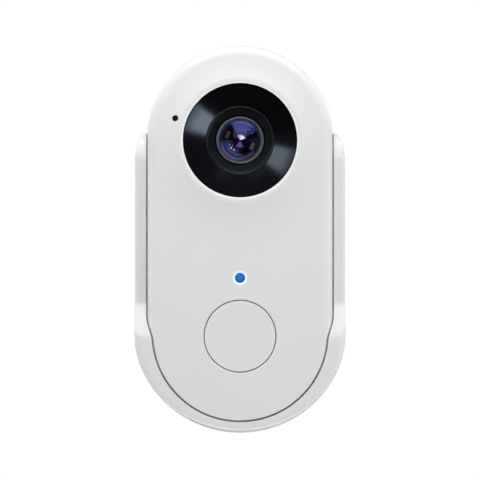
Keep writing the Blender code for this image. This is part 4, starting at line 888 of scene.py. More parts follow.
def lens_skin(node, sag, back_sag, steps=28):
    """A lens: two spherical caps on one rim. Height = sqrt(ball^2 - r^2) - rest."""
    low, high = reach_of(node)
    radius = radius_of(node)
    reach = radius * np.sin(np.linspace(0, math.pi / 2, steps))

    def cap(rise):
        ball = (radius ** 2 + rise ** 2) / (2 * abs(rise))
        return np.sign(rise) * (np.sqrt(ball ** 2 - reach ** 2) - (ball - abs(rise)))

    front_rim = high[2] - max(sag, 0)
    back_rim = low[2] + max(back_sag, 0)
    front = np.stack([reach, front_rim + cap(sag)], axis=-1)
    back = np.stack([reach, back_rim - cap(back_sag)], axis=-1)
    front[0, 0] = back[0, 0] = 0
    front[-1] = (radius, front_rim)
    back[-1] = (radius, back_rim)
    return turned(node.replace("lens", "glass"), LENS_CENTRE,
                  np.concatenate([front, back[::-1]]), 96)


# ---- button, light, flap -------------------------------------------------
def button_skin(body, sizes):
    """Button: dished face, rounded edge, skirt, flange and stem, turned once.

    The dish is a parabola that is deepest in the middle.
    """
    low, high = reach_of("button_cap")
    radius, front = BUTTON_REACH, high[2]
    flange = radius_of("button_cap")
    inside = face_depth(body) - body.wall - 0.3 * MM
    flat = radius - sizes.edge_radius
    across = np.linspace(0, flat, 20)
    dish = [(r, front - sizes.dish * (1 - (r / flat) ** 2)) for r in across]
    edge = rounded([(flat, front), (radius, front, sizes.edge_radius),
                    (radius, inside, 0.1 * MM), (flange, inside, 0.1 * MM),
                    (flange, inside - 1.0 * MM, 0.1 * MM),
                    (BUTTON_STEM, inside - 1.0 * MM, 0.4 * MM),
                    (BUTTON_STEM, low[2], 0.15 * MM), (0, low[2])], steps=6)
    return turned("button_skin", BUTTON_CENTRE, dish + list(edge[1:]), 160)


def light_skin():
    """Light pipe: domed end, flange and a thinner tail, turned once.

    The dome is a parabola.
    """
    low, high = reach_of("light_pipe")
    radius, flange = LIGHT_REACH, radius_of("light_pipe")
    across = radius * np.sin(np.linspace(0, math.pi / 2, 12))
    dome = [(r, high[2] - 0.15 * MM * (r / radius) ** 2) for r in across]
    seat = SHELL_HIGH[2] - LIGHT_SEAT
    tail = rounded([(radius, dome[-1][1]), (radius, seat), (flange, seat, 0.1 * MM),
                    (flange, seat - 0.9 * MM, 0.1 * MM), (MM, seat - 0.9 * MM),
                    (MM, low[2], 0.1 * MM), (0, low[2])], steps=4)
    return turned("light_skin", LIGHT_CENTRE, dome + list(tail[1:]), 64)


def mic_mesh_skin(body):
    """Woven dust screen under the microphone hole: a dimpled disc.

    Its front is sin(x) * sin(y), the weave of fine wires.
    """
    radius, steps = 1.5 * MM, 72
    face = face_depth(body)
    reach = np.linspace(0, radius, 40)[:, None]
    across, up = circle(MIC_CENTRE, reach, steps)
    weave = 0.02 * MM * np.sin(across / (0.035 * MM)) * np.sin(up / (0.035 * MM))
    front = face - body.wall - 0.12 * MM + weave * (reach < radius)
    top = to_world(across, up, front)
    base = to_world(across[::-1], up[::-1], np.full_like(front, face - body.wall - 0.22 * MM))
    return skin("mic_mesh_skin", np.concatenate([top, base]))


def flap_skin():
    """Soft flap over the port: a pillowed plate, a pull tab's ridges and a plug."""
    low, high = FLAP_LOW, FLAP_HIGH
    back = low[2]
    front = back + FLAP_PLATE
    flap = box_outline(low[:2], high[:2], 1.8 * MM, 10)
    piece = prism("flap_skin", flap, [
        (1, back + 0.02 * MM), (0.6, back), (0.05, back), (0.01, back + 0.06 * MM),
        (0, back + 0.2 * MM), (0, front - 0.15 * MM), (0.01, front), (1, front)])
    middle = (low[1] + high[1]) / 2
    wide, tall = PLUG
    plug = box_outline((-wide, middle - tall), (wide, middle + tall), 0.7 * MM)
    boss = prism("plug", plug, [(1, back + 0.45 * MM), (0, back + 0.45 * MM),
                                (0, high[2] - 0.2 * MM), (0.08, high[2]), (1, high[2])])
    piece = combine(piece, "UNION", [boss])
    grooves = []
    for i in range(3):
        up = low[1] + (1.2 + 0.55 * i) * MM
        line = box_outline((-3 * MM, up - 0.12 * MM), (3 * MM, up + 0.12 * MM), 0.1 * MM, 3)
        grooves.append(prism(f"ridge_{i}", line, bar_profile(back - MM, back + 0.15 * MM)))
    crease = box_outline((low[0] - MM, high[1] - 1.0 * MM),
                         (high[0] + MM, high[1] - 0.6 * MM), 0.1 * MM, 3)
    grooves.append(prism("crease", crease, bar_profile(back - MM, back + 0.25 * MM)))
    return combine(piece, "DIFFERENCE", grooves)


# ---- finishes ------------------------------------------------------------
def add_node(tree, kind, inputs=None, **settings):
    """Node whose inputs are set to values or joined to other nodes' outputs."""
    made = tree.nodes.new(kind)
    for key, value in settings.items():
        setattr(made, key, value)
    for key, value in (inputs or {}).items():
        if isinstance(value, bpy.types.NodeSocket):
            tree.links.new(value, made.inputs[key])
        else:
            made.inputs[key].default_value = value
    return made


class Finish:
    """A procedural material in the making. Sizes are in metres on the object."""

    def __init__(self, name, tint, roughness, metallic=0.0, sockets=None):
        self.tint, self.roughness = tint, roughness
        self.material = bpy.data.materials.new(name)
        self.material.use_nodes = True
        self.tree = self.material.node_tree
        self.shader = self.tree.nodes["Principled BSDF"]
        self.shader.inputs["Base Color"].default_value = (*tint, 1)
        self.shader.inputs["Roughness"].default_value = roughness
        self.shader.inputs["Metallic"].default_value = metallic
        for title, value in (sockets or {}).items():
            self.shader.inputs[title].default_value = value
        self.material.diffuse_color = (*tint, 1)
        self.place = self.node("ShaderNodeTexCoord").outputs["Object"]

    def node(self, kind, inputs=None, **settings):
        return add_node(self.tree, kind, inputs, **settings)

    def math(self, operation, first, second=0.0, third=0.0, clamp=False):
        return self.node("ShaderNodeMath", {0: first, 1: second, 2: third},
                         operation=operation, use_clamp=clamp).outputs[0]

    def about(self, centre, stretch=(1, 1, 1), turn=(0, 0, 0)):
        """Object coordinates moved to a centre, then turned and stretched."""
        moved = self.node("ShaderNodeVectorMath", {0: self.place, 1: centre},
                          operation="SUBTRACT").outputs[0]
        return self.node("ShaderNodeMapping", {
            "Vector": moved, "Rotation": turn, "Scale": stretch}).outputs[0]

    def length(self, offset):
        return self.node("ShaderNodeVectorMath", {0: offset}, operation="LENGTH").outputs["Value"]

    def reach(self, centre):
        """Distance from an axis that stands out of the wall at centre."""
        return self.length(self.about((centre[0], 0, centre[1]), (1, 0, 1)))

    def parts(self, place=None):
        """Outputs X, Y and Z of a place."""
        return self.node("ShaderNodeSeparateXYZ", {0: place or self.place}).outputs

    def lens_turn(self):
        """Angle round the lens, from the right, in radians."""
        parts = self.parts(self.about((LENS_CENTRE[0], 0, LENS_UP)))
        return self.math("ARCTAN2", parts["Z"], parts["X"])

    def waves(self, value, pitch):
        """Sine of a distance that repeats at each pitch."""
        return self.math("SINE", self.math("MULTIPLY", value, 2 * math.pi / pitch))

    def noise(self, size, detail=2.0, place=None):
        """Noise whose lumps are about size across."""
        return self.node("ShaderNodeTexNoise", {
            "Vector": place or self.place, "Scale": 1 / size, "Detail": detail}).outputs["Fac"]

    def cells(self, size, feature="F1", distance="EUCLIDEAN"):
        """Distance in cells that are about size across."""
        return self.node("ShaderNodeTexVoronoi", {"Vector": self.place, "Scale": 1 / size},
                         feature=feature, distance=distance).outputs["Distance"]

    def spread(self, value, low, high, to_low=0.0, to_high=1.0, smooth=False):
        """Value brought from low and high to two others, and held beyond them."""
        return self.node("ShaderNodeMapRange", {
            "Value": value, "From Min": low, "From Max": high,
            "To Min": to_low, "To Max": to_high},
            interpolation_type="SMOOTHSTEP" if smooth else "LINEAR").outputs["Result"]

    def between(self, value, low, high, soft):
        """1 from low to high, falling to 0 over soft on both sides."""
        return self.math("MULTIPLY", self.spread(value, low - soft, low + soft, smooth=True),
                         self.spread(value, high - soft, high + soft, 1, 0, smooth=True))

    def mix(self, factor, first, second):
        """Colour from first to second; each is a tint or another node's output."""
        inputs = {0: factor}
        for key, part in ((6, first), (7, second)):
            inputs[key] = part if isinstance(part, bpy.types.NodeSocket) else (*part, 1)
        return self.node("ShaderNodeMix", inputs, data_type="RGBA").outputs[2]

    def paint(self, value, socket="Base Color"):
        self.tree.links.new(value, self.shader.inputs[socket])
        return self

    def mottle(self, pattern, darker, lighter):
        """Base colour that varies with a pattern by these shares of the tint."""
        dark, light = shifted(self.tint, darker), shifted(self.tint, lighter)
        return self.paint(self.mix(pattern, dark, light))

    def gloss(self, pattern, low, high):
        """Roughness that varies with a pattern by these amounts."""
        return self.paint(self.spread(pattern, 0.3, 0.7, self.roughness + low,
                                      self.roughness + high), "Roughness")

    def relief(self, height, distance, strength=1.0):
        bumps = self.node("ShaderNodeBump", {
            "Height": height, "Distance": distance, "Strength": strength})
        self.tree.links.new(bumps.outputs[0], self.shader.inputs["Normal"])
        return self


def shifted(tint, amount):
    """A tint made lighter or darker by a share of itself."""
    return tuple(min(1.0, max(0.0, part * (1 + amount))) for part in tint)


def moulded_plastic(name, tint, roughness=0.38, grain=0.22 * MM, depth=0.004 * MM):
    """Satin moulded plastic: spark-eroded grain, faint flow marks, uneven sheen."""
    finish = Finish(name, tint, roughness)
    finish.mottle(finish.noise(9 * MM, 3), -0.012, 0.012)
    finish.gloss(finish.noise(2.5 * MM, 3), -0.04, 0.04)
    return finish.relief(finish.noise(grain), depth, 0.6)


def housing_like(name, context, *settings):
    """Plain plastic in the housing's colour."""
    return moulded_plastic(name, context.scene.doorbell_colours.housing, *settings).material


def housing_plastic(colours, body):
    """The housing's plastic, with a painted highlight: the lip round the camera gets a lighter base
    colour.

    A painted glow round the status light: an emission colour in the plastic stands in for its light
    shining through.
    """
    finish = moulded_plastic("housing_plastic", colours.housing)
    plain = finish.shader.inputs["Base Color"].links[0].from_socket
    edge = lip_edge(body)
    # painted highlight: a lighter base colour on the lip round the camera opening
    lip = finish.spread(finish.reach(LENS_CENTRE), edge, edge + LIP_RISE, 1, 0)
    finish.paint(finish.mix(lip, plain, (0.96, 0.96, 0.96)))
    # painted glow: emission colour in the housing round the status light
    glow = finish.spread(finish.reach(LIGHT_CENTRE), LIGHT_REACH + 0.2 * MM,
                         LIGHT_REACH + 1.0 * MM, 1, 0, True)
    finish.paint(finish.mix(glow, (0, 0, 0), (0.5, 0.74, 1.0)), "Emission Color")
    finish.shader.inputs["Emission Strength"].default_value = 0.5
    return finish.material


def funnel_black(tint, camera):
    """Polished black cone with radial polishing hairlines and a satin step.

    The hairlines are noise that is fine round the cone and long along it.
    """
    finish = Finish("funnel_black", tint, 0.15, sockets={
        "Specular Tint": (0.66, 0.80, 1.0, 1), "Specular IOR Level": 0.5})
    reach = finish.reach(LENS_CENTRE)
    polar = finish.node("ShaderNodeCombineXYZ", {
        "X": finish.math("MULTIPLY", finish.lens_turn(), 60.0),
        "Y": finish.math("MULTIPLY", reach, 160.0)})
    lines = finish.noise(1.0, 3, polar.outputs[0])
    haze = finish.noise(3 * MM, 4)
    gloss = finish.spread(finish.math("ADD", lines, haze), 0.6, 1.4, 0.12, 0.20)
    step = finish.between(reach, camera.floor_radius - 0.4 * MM,
                          camera.floor_radius + 0.32 * MM, 0.12 * MM)
    finish.paint(finish.math("ADD", gloss, finish.math("MULTIPLY", step, 0.16)), "Roughness")
    cone = finish.mix(haze, shifted(tint, -0.2), shifted(tint, 0.2))
    flat = finish.spread(reach, camera.floor_radius, camera.floor_radius + 0.3 * MM, 1, 0)
    cone = finish.mix(flat, cone, (0.0035, 0.0034, 0.003))
    finish.paint(finish.mix(step, cone, (0.008, 0.0075, 0.0065)))
    return finish.relief(lines, 0.0006 * MM, 0.4).material


def satin_white(name, tint, roughness):
    """Satin light plastic with its usual grain."""
    return moulded_plastic(name, tint, roughness).material


def satin_black(name, tint=(0.012, 0.012, 0.013), roughness=0.5):
    """Satin black plastic with a finer, deeper grain."""
    return moulded_plastic(name, tint, roughness, 0.16 * MM, 0.006 * MM).material


def brushed_metal(name, tint, roughness, stretch):
    """Metal with soft stains and fine brush lines, drawn out by stretch."""
    finish = Finish(name, tint, roughness, 1.0)
    fine = finish.about((0, 0, 0), tuple(1 / part for part in stretch))
    lines = finish.noise(0.12 * MM, 3, fine)
    finish.mottle(finish.noise(2 * MM, 3), -0.08, 0.06).gloss(lines, -0.07, 0.08)
    return finish.relief(lines, 0.002 * MM, 0.4).material


def turned_metal(name, tint, roughness, centre):
    """Metal turned on a lathe: rings round the centre."""
    finish = Finish(name, tint, roughness, 1.0)
    wear = finish.noise(0.9 * MM, 3)
    finish.mottle(wear, -0.12, 0.1).gloss(wear, -0.06, 0.06)
    rings = finish.waves(finish.reach(centre), 0.07 * MM)
    return finish.relief(rings, 0.002 * MM, 0.3).material


# painted reflections on the front lens: tint, strength, then from, to and softness in degrees and
# in shares of the rim
LENS_PAINTED_REFLECTIONS = (
    ((0.030, 0.032, 0.13), 0.95, (30, 120, 3), (0.05, 0.97, 0.03)),
    ((0.075, 0.085, 0.30), 0.9, (52, 116, 8), (0.45, 0.80, 0.12)),
    ((0.13, 0.16, 0.42), 0.8, (48, 112, 12), (0.80, 0.93, 0.04)),
    ((0.0015, 0.0015, 0.003), 1.0, (118, 178, 3), (0.0, 0.82, 0.03)),
    ((0.0020, 0.0018, 0.006), 0.9, (8, 30, 4), (0.10, 0.86, 0.05)),
    ((0.045, 0.045, 0.15), 0.85, (184, 262, 8), (0.45, 0.92, 0.10)),
    ((0.22, 0.25, 0.58), 0.8, (196, 276, 16), (0.86, 0.94, 0.03)),
    ((0.10, 0.12, 0.34), 0.8, (205, 285, 14), (0.66, 0.72, 0.03)),
    ((0.09, 0.09, 0.17), 0.8, (262, 318, 12), (0.78, 0.90, 0.06)),
    ((0.0025, 0.0022, 0.005), 0.9, (276, 352, 8), (0.25, 0.74, 0.06)),
    ((0.16, 0.08, 0.36), 0.9, (236, 296, 8), (0.08, 0.34, 0.05)),
    ((0.50, 0.38, 0.86), 0.95, (28, 118, 5), (0.03, 0.26, 0.04)),
    ((0.95, 0.90, 1.00), 0.95, (20, 78, 6), (0.05, 0.24, 0.04)),
    ((0.01, 0.011, 0.020), 0.9, (-5, 365, 1), (0.93, 0.95, 0.006)),
    ((0.24, 0.27, 0.42), 0.85, (-5, 365, 1), (0.965, 1.01, 0.006)),
)
# painted sparks of reflected light on the front lens: across and up from the middle, size, all in
# shares of the rim, and tint
LENS_PAINTED_SPARKS = (
    (-0.42, -0.36, 0.055, (0.80, 0.84, 1.00)),
    (-0.28, -0.46, 0.045, (0.80, 0.84, 1.00)),
    (-0.50, -0.22, 0.035, (0.50, 0.55, 0.90)),
    (-0.36, -0.24, 0.030, (0.40, 0.45, 0.85)),
    (0.44, 0.50, 0.030, (0.35, 0.38, 0.80)),
    (0.56, 0.34, 0.030, (0.30, 0.33, 0.75)),
)


def front_glass_painted_reflections():
    """Coated front lens. Its colours are painted reflections and highlights, laid on in its base
    colour.

    The painted reflections are built on the angle and distance from the lens's middle:
    a blue fan above, a black fan beside it, pale crescents along the lower
    rim, two small bright wedges at the middle and a few sparks, all painted highlights.
    """
    finish = Finish("front_glass_painted_reflections", (0.004, 0.004, 0.008), 0.04, sockets={
        "Specular IOR Level": 0.12, "Specular Tint": (0.80, 0.84, 1.0, 1)})
    rim = radius_of("lens_front")
    reach = finish.math("DIVIDE", finish.reach(LENS_CENTRE), rim)
    turn = finish.math("MULTIPLY", finish.lens_turn(), 180 / math.pi)
    around = finish.math("MODULO", finish.math("ADD", turn, 360), 360)
    paint = finish.mix(finish.spread(reach, 0.2, 0.9), (0.004, 0.003, 0.009), (0.014, 0.013, 0.028))
    # painted reflections, layer by layer, in the base colour
    for tint, strength, turns, reaches in LENS_PAINTED_REFLECTIONS:
        reflection_patch = finish.math("MULTIPLY", finish.between(around, *turns),
                            finish.between(reach, *reaches))
        paint = finish.mix(finish.math("MULTIPLY", reflection_patch, strength), paint, tint)
    # painted highlights: small bright spots of base colour
    for across, up, size, tint in LENS_PAINTED_SPARKS:
        spot = finish.reach((LENS_CENTRE[0] + across * rim, LENS_UP + up * rim))
        painted_spark = finish.spread(spot, 0.5 * size * rim, size * rim, 0.9, 0, True)
        paint = finish.mix(painted_spark, paint, tint)
    finish.paint(paint)
    return finish.relief(finish.noise(2 * MM, 2), 0.002 * MM, 0.2).material


def inner_glass_painted_sheen(name, tint):
    """Coated inner lens: a painted violet and green sheen in its base colour, in rings that change
    across it.
    """
    finish = Finish(name, tint, 0.04, sockets={"Coat Weight": 1.0, "Coat Roughness": 0.02})
    rings = finish.spread(finish.waves(finish.reach(LENS_CENTRE), 2.618 * MM), -1, 1)
    return finish.paint(finish.mix(rings, tint, (0.10, 0.03, 0.16))).material


def status_light(colours):
    """Clear rod lit from behind, brightest in the middle."""
    finish = Finish("status_light", colours.light, 0.4, sockets={
        "Emission Strength": 0.25, "Specular IOR Level": 0.3})
    core = finish.spread(finish.reach(LIGHT_CENTRE), 0, LIGHT_REACH, 1, 0, True)
    glow = finish.mix(core, shifted(colours.light, -0.1), shifted(colours.light, 0.35))
    return finish.paint(glow).paint(glow, "Emission Color").material


def soft_rubber(name, tint, roughness=0.72):
    """Matt rubber: fine pores and a dusty sheen."""
    finish = Finish(name, tint, roughness, sockets={"Sheen Weight": 0.25, "Sheen Roughness": 0.6})
    finish.mottle(finish.noise(1.6 * MM, 4), -0.08, 0.06)
    finish.gloss(finish.noise(0.5 * MM), -0.08, 0.08)
    return finish.relief(finish.noise(0.09 * MM, 3), 0.01 * MM, 0.5).material


def foam():
    """Closed-cell foam: small round bubbles over dark grey."""
    finish = Finish("foam", (0.03, 0.03, 0.032), 0.92, sockets={"Sheen Weight": 0.3})
    bubbles = finish.cells(0.34 * MM)
    dome = finish.spread(bubbles, 0.1, 0.6)
    finish.paint(finish.mix(dome, (0.012, 0.012, 0.013), (0.055, 0.055, 0.058)))
    return finish.relief(bubbles, 0.08 * MM, 0.8).material


def circuit_board(name, tint=(0.012, 0.10, 0.045)):
    """Solder mask over copper: square-cornered tracks, vias and glass weave."""
    finish = Finish(name, tint, 0.34, sockets={"Coat Weight": 0.3, "Coat Roughness": 0.2})
    tracks = finish.spread(finish.cells(1.5 * MM, "DISTANCE_TO_EDGE", distance="MANHATTAN"),
                           0.05, 0.08, 1, 0)
    copper = finish.mix(tracks, shifted(tint, -0.1), shifted(tint, 1.1))
    vias = finish.spread(finish.cells(2.3 * MM), 0.11, 0.13, 1, 0)
    finish.paint(finish.mix(vias, copper, (0.62, 0.50, 0.20)))
    finish.paint(finish.spread(vias, 0, 1, 0, 0.9), "Metallic")
    weave = finish.noise(0.3 * MM, 1)
    height = finish.math("ADD", finish.math("MULTIPLY", tracks, 0.8),
                         finish.math("MULTIPLY", weave, 0.3))
    return finish.relief(height, 0.03 * MM, 0.6).material


def cell_wrap():
    """Shrink film on a steel can: taut film, faint wrinkles, a darker shoulder."""
    tint = (0.03, 0.11, 0.34)
    finish = Finish("cell_wrap", tint, 0.3, sockets={"Coat Weight": 0.4, "Coat Roughness": 0.15})
    low, high = reach_of("battery_cell_left")
    up = finish.parts()["Z"]
    shoulder = finish.math("ADD", finish.spread(up, low[1] + 1.6 * MM, low[1] + 1.9 * MM, 1, 0),
                           finish.spread(up, high[1] - 3.4 * MM, high[1] - 3.1 * MM), clamp=True)
    wrinkles = finish.noise(1.1 * MM, 3, finish.about((0, 0, 0), (1, 1, 0.12)))
    film = finish.mix(wrinkles, shifted(tint, -0.12), shifted(tint, 0.15))
    finish.paint(finish.mix(shoulder, film, (0.30, 0.31, 0.33)))
    finish.paint(finish.spread(shoulder, 0, 1, 0, 0.85), "Metallic")
    return finish.relief(wrinkles, 0.03 * MM, 0.4).material


def amber_film():
    """Flexible circuit: amber film over parallel copper tracks."""
    finish = Finish("amber_film", (0.42, 0.17, 0.02), 0.28, sockets={"Coat Weight": 0.6})
    lines = finish.spread(finish.waves(finish.parts()["X"], 0.5 * MM), -0.2, 0.2)
    finish.paint(finish.mix(lines, (0.36, 0.13, 0.015), (0.60, 0.28, 0.07)))
    return finish.relief(lines, 0.02 * MM, 0.5).material


def speaker_black():
    """Black frame and cone with rings pressed round its middle."""
    finish = Finish("speaker_black", (0.015, 0.015, 0.016), 0.55)
    middle = tuple(np.mean(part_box("speaker"), axis=0).tolist())
    rings = finish.waves(finish.length(finish.about(middle, (0, 1, 1))), 1.1 * MM)
    paper = finish.noise(0.3 * MM, 3)
    finish.paint(finish.mix(paper, (0.010, 0.010, 0.011), (0.024, 0.024, 0.026)))
    return finish.relief(finish.math("ADD", rings, paper), 0.05 * MM, 0.6).material


def night_light():
    """Infrared lamp: dark violet resin with a pale die behind it."""
    finish = Finish("night_light", (0.02, 0.008, 0.03), 0.08, sockets={"Coat Weight": 1.0})
    finish.paint(finish.mix(finish.noise(0.8 * MM, 2), (0.012, 0.006, 0.02), (0.05, 0.02, 0.07)))
    return finish.material


def sensor_surface():
    """Image sensor: black frame round a die with a green and violet shimmer."""
    finish = Finish("sensor_surface", (0.02, 0.02, 0.02), 0.2, 0.3, {"Coat Weight": 0.8})
    parts = finish.parts(finish.about((LENS_CENTRE[0], 0, LENS_UP), (1, 0, 1)))
    reach = finish.math("MAXIMUM", finish.math("ABSOLUTE", parts["X"]),
                        finish.math("ABSOLUTE", parts["Z"]))
    die = finish.spread(reach, 2.2 * MM, 2.3 * MM, 1, 0)
    shimmer = finish.mix(finish.noise(1.4 * MM, 1), (0.05, 0.14, 0.10), (0.13, 0.05, 0.17))
    return finish.paint(finish.mix(die, (0.015, 0.015, 0.015), shimmer)).material


def small_screw(node):
    """Blackened screw of a board, turned round its own middle."""
    return turned_metal(f"{node}_black", (0.07, 0.07, 0.075), 0.4, centre_of(node))


BOX_STEEL = (0.55, 0.56, 0.58)
NICKEL = (0.62, 0.60, 0.55)
# node: what makes its finish, then the finish's name and settings
INSIDE = {
    "case_seal": (soft_rubber, "seal_rubber", (0.02, 0.02, 0.022)),
    "mic_boot": (soft_rubber, "boot_rubber", (0.025, 0.025, 0.027)),
    "speaker_gasket": (soft_rubber, "gasket_rubber", (0.03, 0.03, 0.03)),
    "button_membrane": (soft_rubber, "dome_rubber", (0.30, 0.30, 0.31)),
    "lens_holder": (satin_black, "holder_black"),
    "ir_filter_slide": (satin_black, "slide_black"),
    "aperture_stop": (satin_black, "stop_black", (0.005, 0.005, 0.005), 0.6),
    "battery_frame": (satin_black, "frame_black", (0.02, 0.02, 0.021), 0.6),
    "switch_plunger": (satin_black, "plunger_black"),
    "switch_knob": (satin_black, "knob_black", (0.018, 0.018, 0.018), 0.45),
    "reset_key": (satin_black, "key_black", (0.018, 0.018, 0.018), 0.45),
    "ir_cut_plate": (brushed_metal, "plate_steel", (0.42, 0.43, 0.45), 0.34, (40, 1, 1)),
    "button_switch": (brushed_metal, "switch_steel", BOX_STEEL, 0.28, (30, 1, 1)),
    "power_switch": (brushed_metal, "switch_can_steel", BOX_STEEL, 0.3, (30, 1, 1)),
    "reset_switch": (brushed_metal, "reset_can_steel", BOX_STEEL, 0.3, (1, 1, 30)),
    "usb_socket": (brushed_metal, "socket_steel", (0.60, 0.61, 0.63), 0.24, (30, 1, 1)),
    "shield_can": (brushed_metal, "shield_steel", (0.58, 0.59, 0.60), 0.3, (1, 1, 40)),
    "wifi_module": (brushed_metal, "module_steel", (0.50, 0.51, 0.52), 0.32, (40, 1, 1)),
    "wifi_antenna": (brushed_metal, "antenna_copper", (0.62, 0.36, 0.20), 0.35, (1, 1, 20)),
    "contact_plate_top": (brushed_metal, "contact_nickel", NICKEL, 0.26, (30, 1, 1)),
    "contact_plate_left": (brushed_metal, "left_contact_nickel", NICKEL, 0.26, (1, 30, 1)),
    "contact_plate_right": (brushed_metal, "right_contact_nickel", NICKEL, 0.26, (1, 30, 1)),
    "microphone": (turned_metal, "microphone_steel", (0.50, 0.50, 0.51), 0.35, MIC_CENTRE),
    "camera_screw_1": (small_screw, "camera_screw_1"),
    "camera_screw_2": (small_screw, "camera_screw_2"),
    "board_screw_1": (small_screw, "board_screw_1"),
    "board_screw_2": (small_screw, "board_screw_2"),
    "image_sensor": (sensor_surface,),
    "camera_board": (circuit_board, "camera_board_green"),
    "charge_board": (circuit_board, "charge_board_green"),
    "ir_led_board": (circuit_board, "lamp_board_green"),
    "main_board": (circuit_board, "main_board_green"),
    "camera_ribbon": (amber_film,),
    "speaker": (speaker_black,),
    "ir_filter_glass": (inner_glass_painted_sheen, "filter_glass", (0.06, 0.16, 0.17)),
    "status_led": (satin_white, "led_white", (0.72, 0.70, 0.62), 0.3),
}


# ---- operators -----------------------------------------------------------
class MESH_OT_doorbell_shell(bpy.types.Operator):
    """Build the front shell with its raised camera field, holes and grooves"""
    bl_idname = "mesh.doorbell_shell"
    bl_label = "Front Shell"

    def execute(self, context):
        scene = context.scene
        shell = shell_skin(scene.doorbell_body, scene.doorbell_button,
                           scene.doorbell_cradle)
        finished(shell, "doorbell", "white_plastic",
                 housing_plastic(scene.doorbell_colours, scene.doorbell_body), "front_shell")
        return {"FINISHED"}


class MESH_OT_doorbell_cover(bpy.types.Operator):
    """Build the rear cover with its port pocket and screw wells"""
    bl_idname = "mesh.doorbell_cover"
    bl_label = "Rear Cover"

    def execute(self, context):
        plastic = housing_like("cover_plastic", context, 0.46, 0.3 * MM, 0.01 * MM)
        finished(cover_skin(context.scene.doorbell_body), "doorbell", "white_plastic",
                 plastic, "rear_cover")
        return {"FINISHED"}


class MESH_OT_doorbell_screws(bpy.types.Operator):
    """Build the four case screws with cross recesses and threads"""
    bl_idname = "mesh.doorbell_screws"
    bl_label = "Case Screws"

    def execute(self, context):
        for number in range(1, 5):
            node = f"case_screw_{number}"
            finished(screw_skin(number), "doorbell", "dark_metal", turned_metal(
                f"screw_black_{number}", (0.08, 0.08, 0.085), 0.36, centre_of(node)), node)
        return {"FINISHED"}


class MESH_OT_doorbell_cradle(bpy.types.Operator):
    """Build the wall cradle with its cup, arms, rails, window and holes"""
    bl_idname = "mesh.doorbell_cradle"
    bl_label = "Wall Cradle"

    def execute(self, context):
        scene = context.scene
        plastic = housing_like("cradle_plastic", context, 0.34)
        finished(cradle_skin(scene.doorbell_cradle, scene.doorbell_body), "cradle",
                 "white_plastic", plastic, "cradle")
        finished(pad_skin(), "cradle", "foam", foam(), "mounting_pad")
        return {"FINISHED"}


class MESH_OT_doorbell_camera(bpy.types.Operator):
    """Build the black funnel, the lens barrel, its ring and its lenses"""
    bl_idname = "mesh.doorbell_camera"
    bl_label = "Camera"

    def execute(self, context):
        scene = context.scene
        camera, colours = scene.doorbell_camera, scene.doorbell_colours
        finished(funnel_skin(scene.doorbell_body, camera), "doorbell", "black_gloss",
                 funnel_black(colours.funnel, camera), "camera_bezel")
        finished(barrel_skin(camera), "doorbell", "black_plastic",
                 satin_black("barrel_black", (0.008, 0.008, 0.009), 0.42), "lens_barrel")
        finished(lens_ring_skin(), "doorbell", "bright_metal",
                 turned_metal("ring_grey", (0.13, 0.14, 0.18), 0.4, LENS_CENTRE), "lens_ring")
        finished(lens_skin("lens_front", camera.glass_sag, -0.9 * MM), "doorbell", "glass",
                 front_glass_painted_reflections(), "lens_front")
        finished(lens_skin("lens_middle", 0.2 * MM, 0.2 * MM), "doorbell", "glass",
                 inner_glass_painted_sheen("middle_glass", (0.03, 0.04, 0.12)), "lens_middle")
        finished(lens_skin("lens_rear", 0.2 * MM, 0.2 * MM), "doorbell", "glass",
                 inner_glass_painted_sheen("rear_glass", (0.03, 0.07, 0.06)), "lens_rear")
        return {"FINISHED"}


class MESH_OT_doorbell_button(bpy.types.Operator):
    """Build the round call button"""
    bl_idname = "mesh.doorbell_button"
    bl_label = "Call Button"

    def execute(self, context):
        scene = context.scene
        plastic = housing_like("button_plastic", context, 0.36)
        finished(button_skin(scene.doorbell_body, scene.doorbell_button), "button",
                 "white_plastic", plastic, "button_cap")
        return {"FINISHED"}


class MESH_OT_doorbell_light(bpy.types.Operator):
    """Build the end of the status light's pipe"""
    bl_idname = "mesh.doorbell_light"
    bl_label = "Status Light"

    def execute(self, context):
        finished(light_skin(), "doorbell", "blue_light",
                 status_light(context.scene.doorbell_colours), "light_pipe")
        return {"FINISHED"}


class MESH_OT_doorbell_microphone(bpy.types.Operator):
    """Build the dust screen behind the microphone hole"""
    bl_idname = "mesh.doorbell_microphone"
    bl_label = "Microphone Screen"

    def execute(self, context):
        finished(mic_mesh_skin(context.scene.doorbell_body), "doorbell", "black_plastic",
                 satin_black("screen_black", (0.006, 0.006, 0.006), 0.7))
        return {"FINISHED"}


class MESH_OT_doorbell_flap(bpy.types.Operator):
    """Build the soft flap over the charging port"""
    bl_idname = "mesh.doorbell_flap"
    bl_label = "Port Flap"

    def execute(self, context):
        finished(flap_skin(), "port_cover", "white_rubber",
                 soft_rubber("flap_rubber", context.scene.doorbell_colours.flap, 0.6), "port_cover")
        return {"FINISHED"}


class MESH_OT_doorbell_inside(bpy.types.Operator):
    """Give the boards, cells, cans, screws and seals inside their finishes"""
    bl_idname = "mesh.doorbell_inside"
    bl_label = "Inside Parts"

    def execute(self, context):
        wrap = cell_wrap()
        resin = night_light()
        for name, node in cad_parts.items():
            if name.startswith("battery_cell"):
                material = wrap
            elif name.startswith("ir_led_") and name != "ir_led_board":
                material = resin
            elif name in INSIDE:
                maker, *settings = INSIDE[name]
                material = maker(*settings)
            else:
                continue
            for place in node.material_slots:
                place.material = material
        return {"FINISHED"}


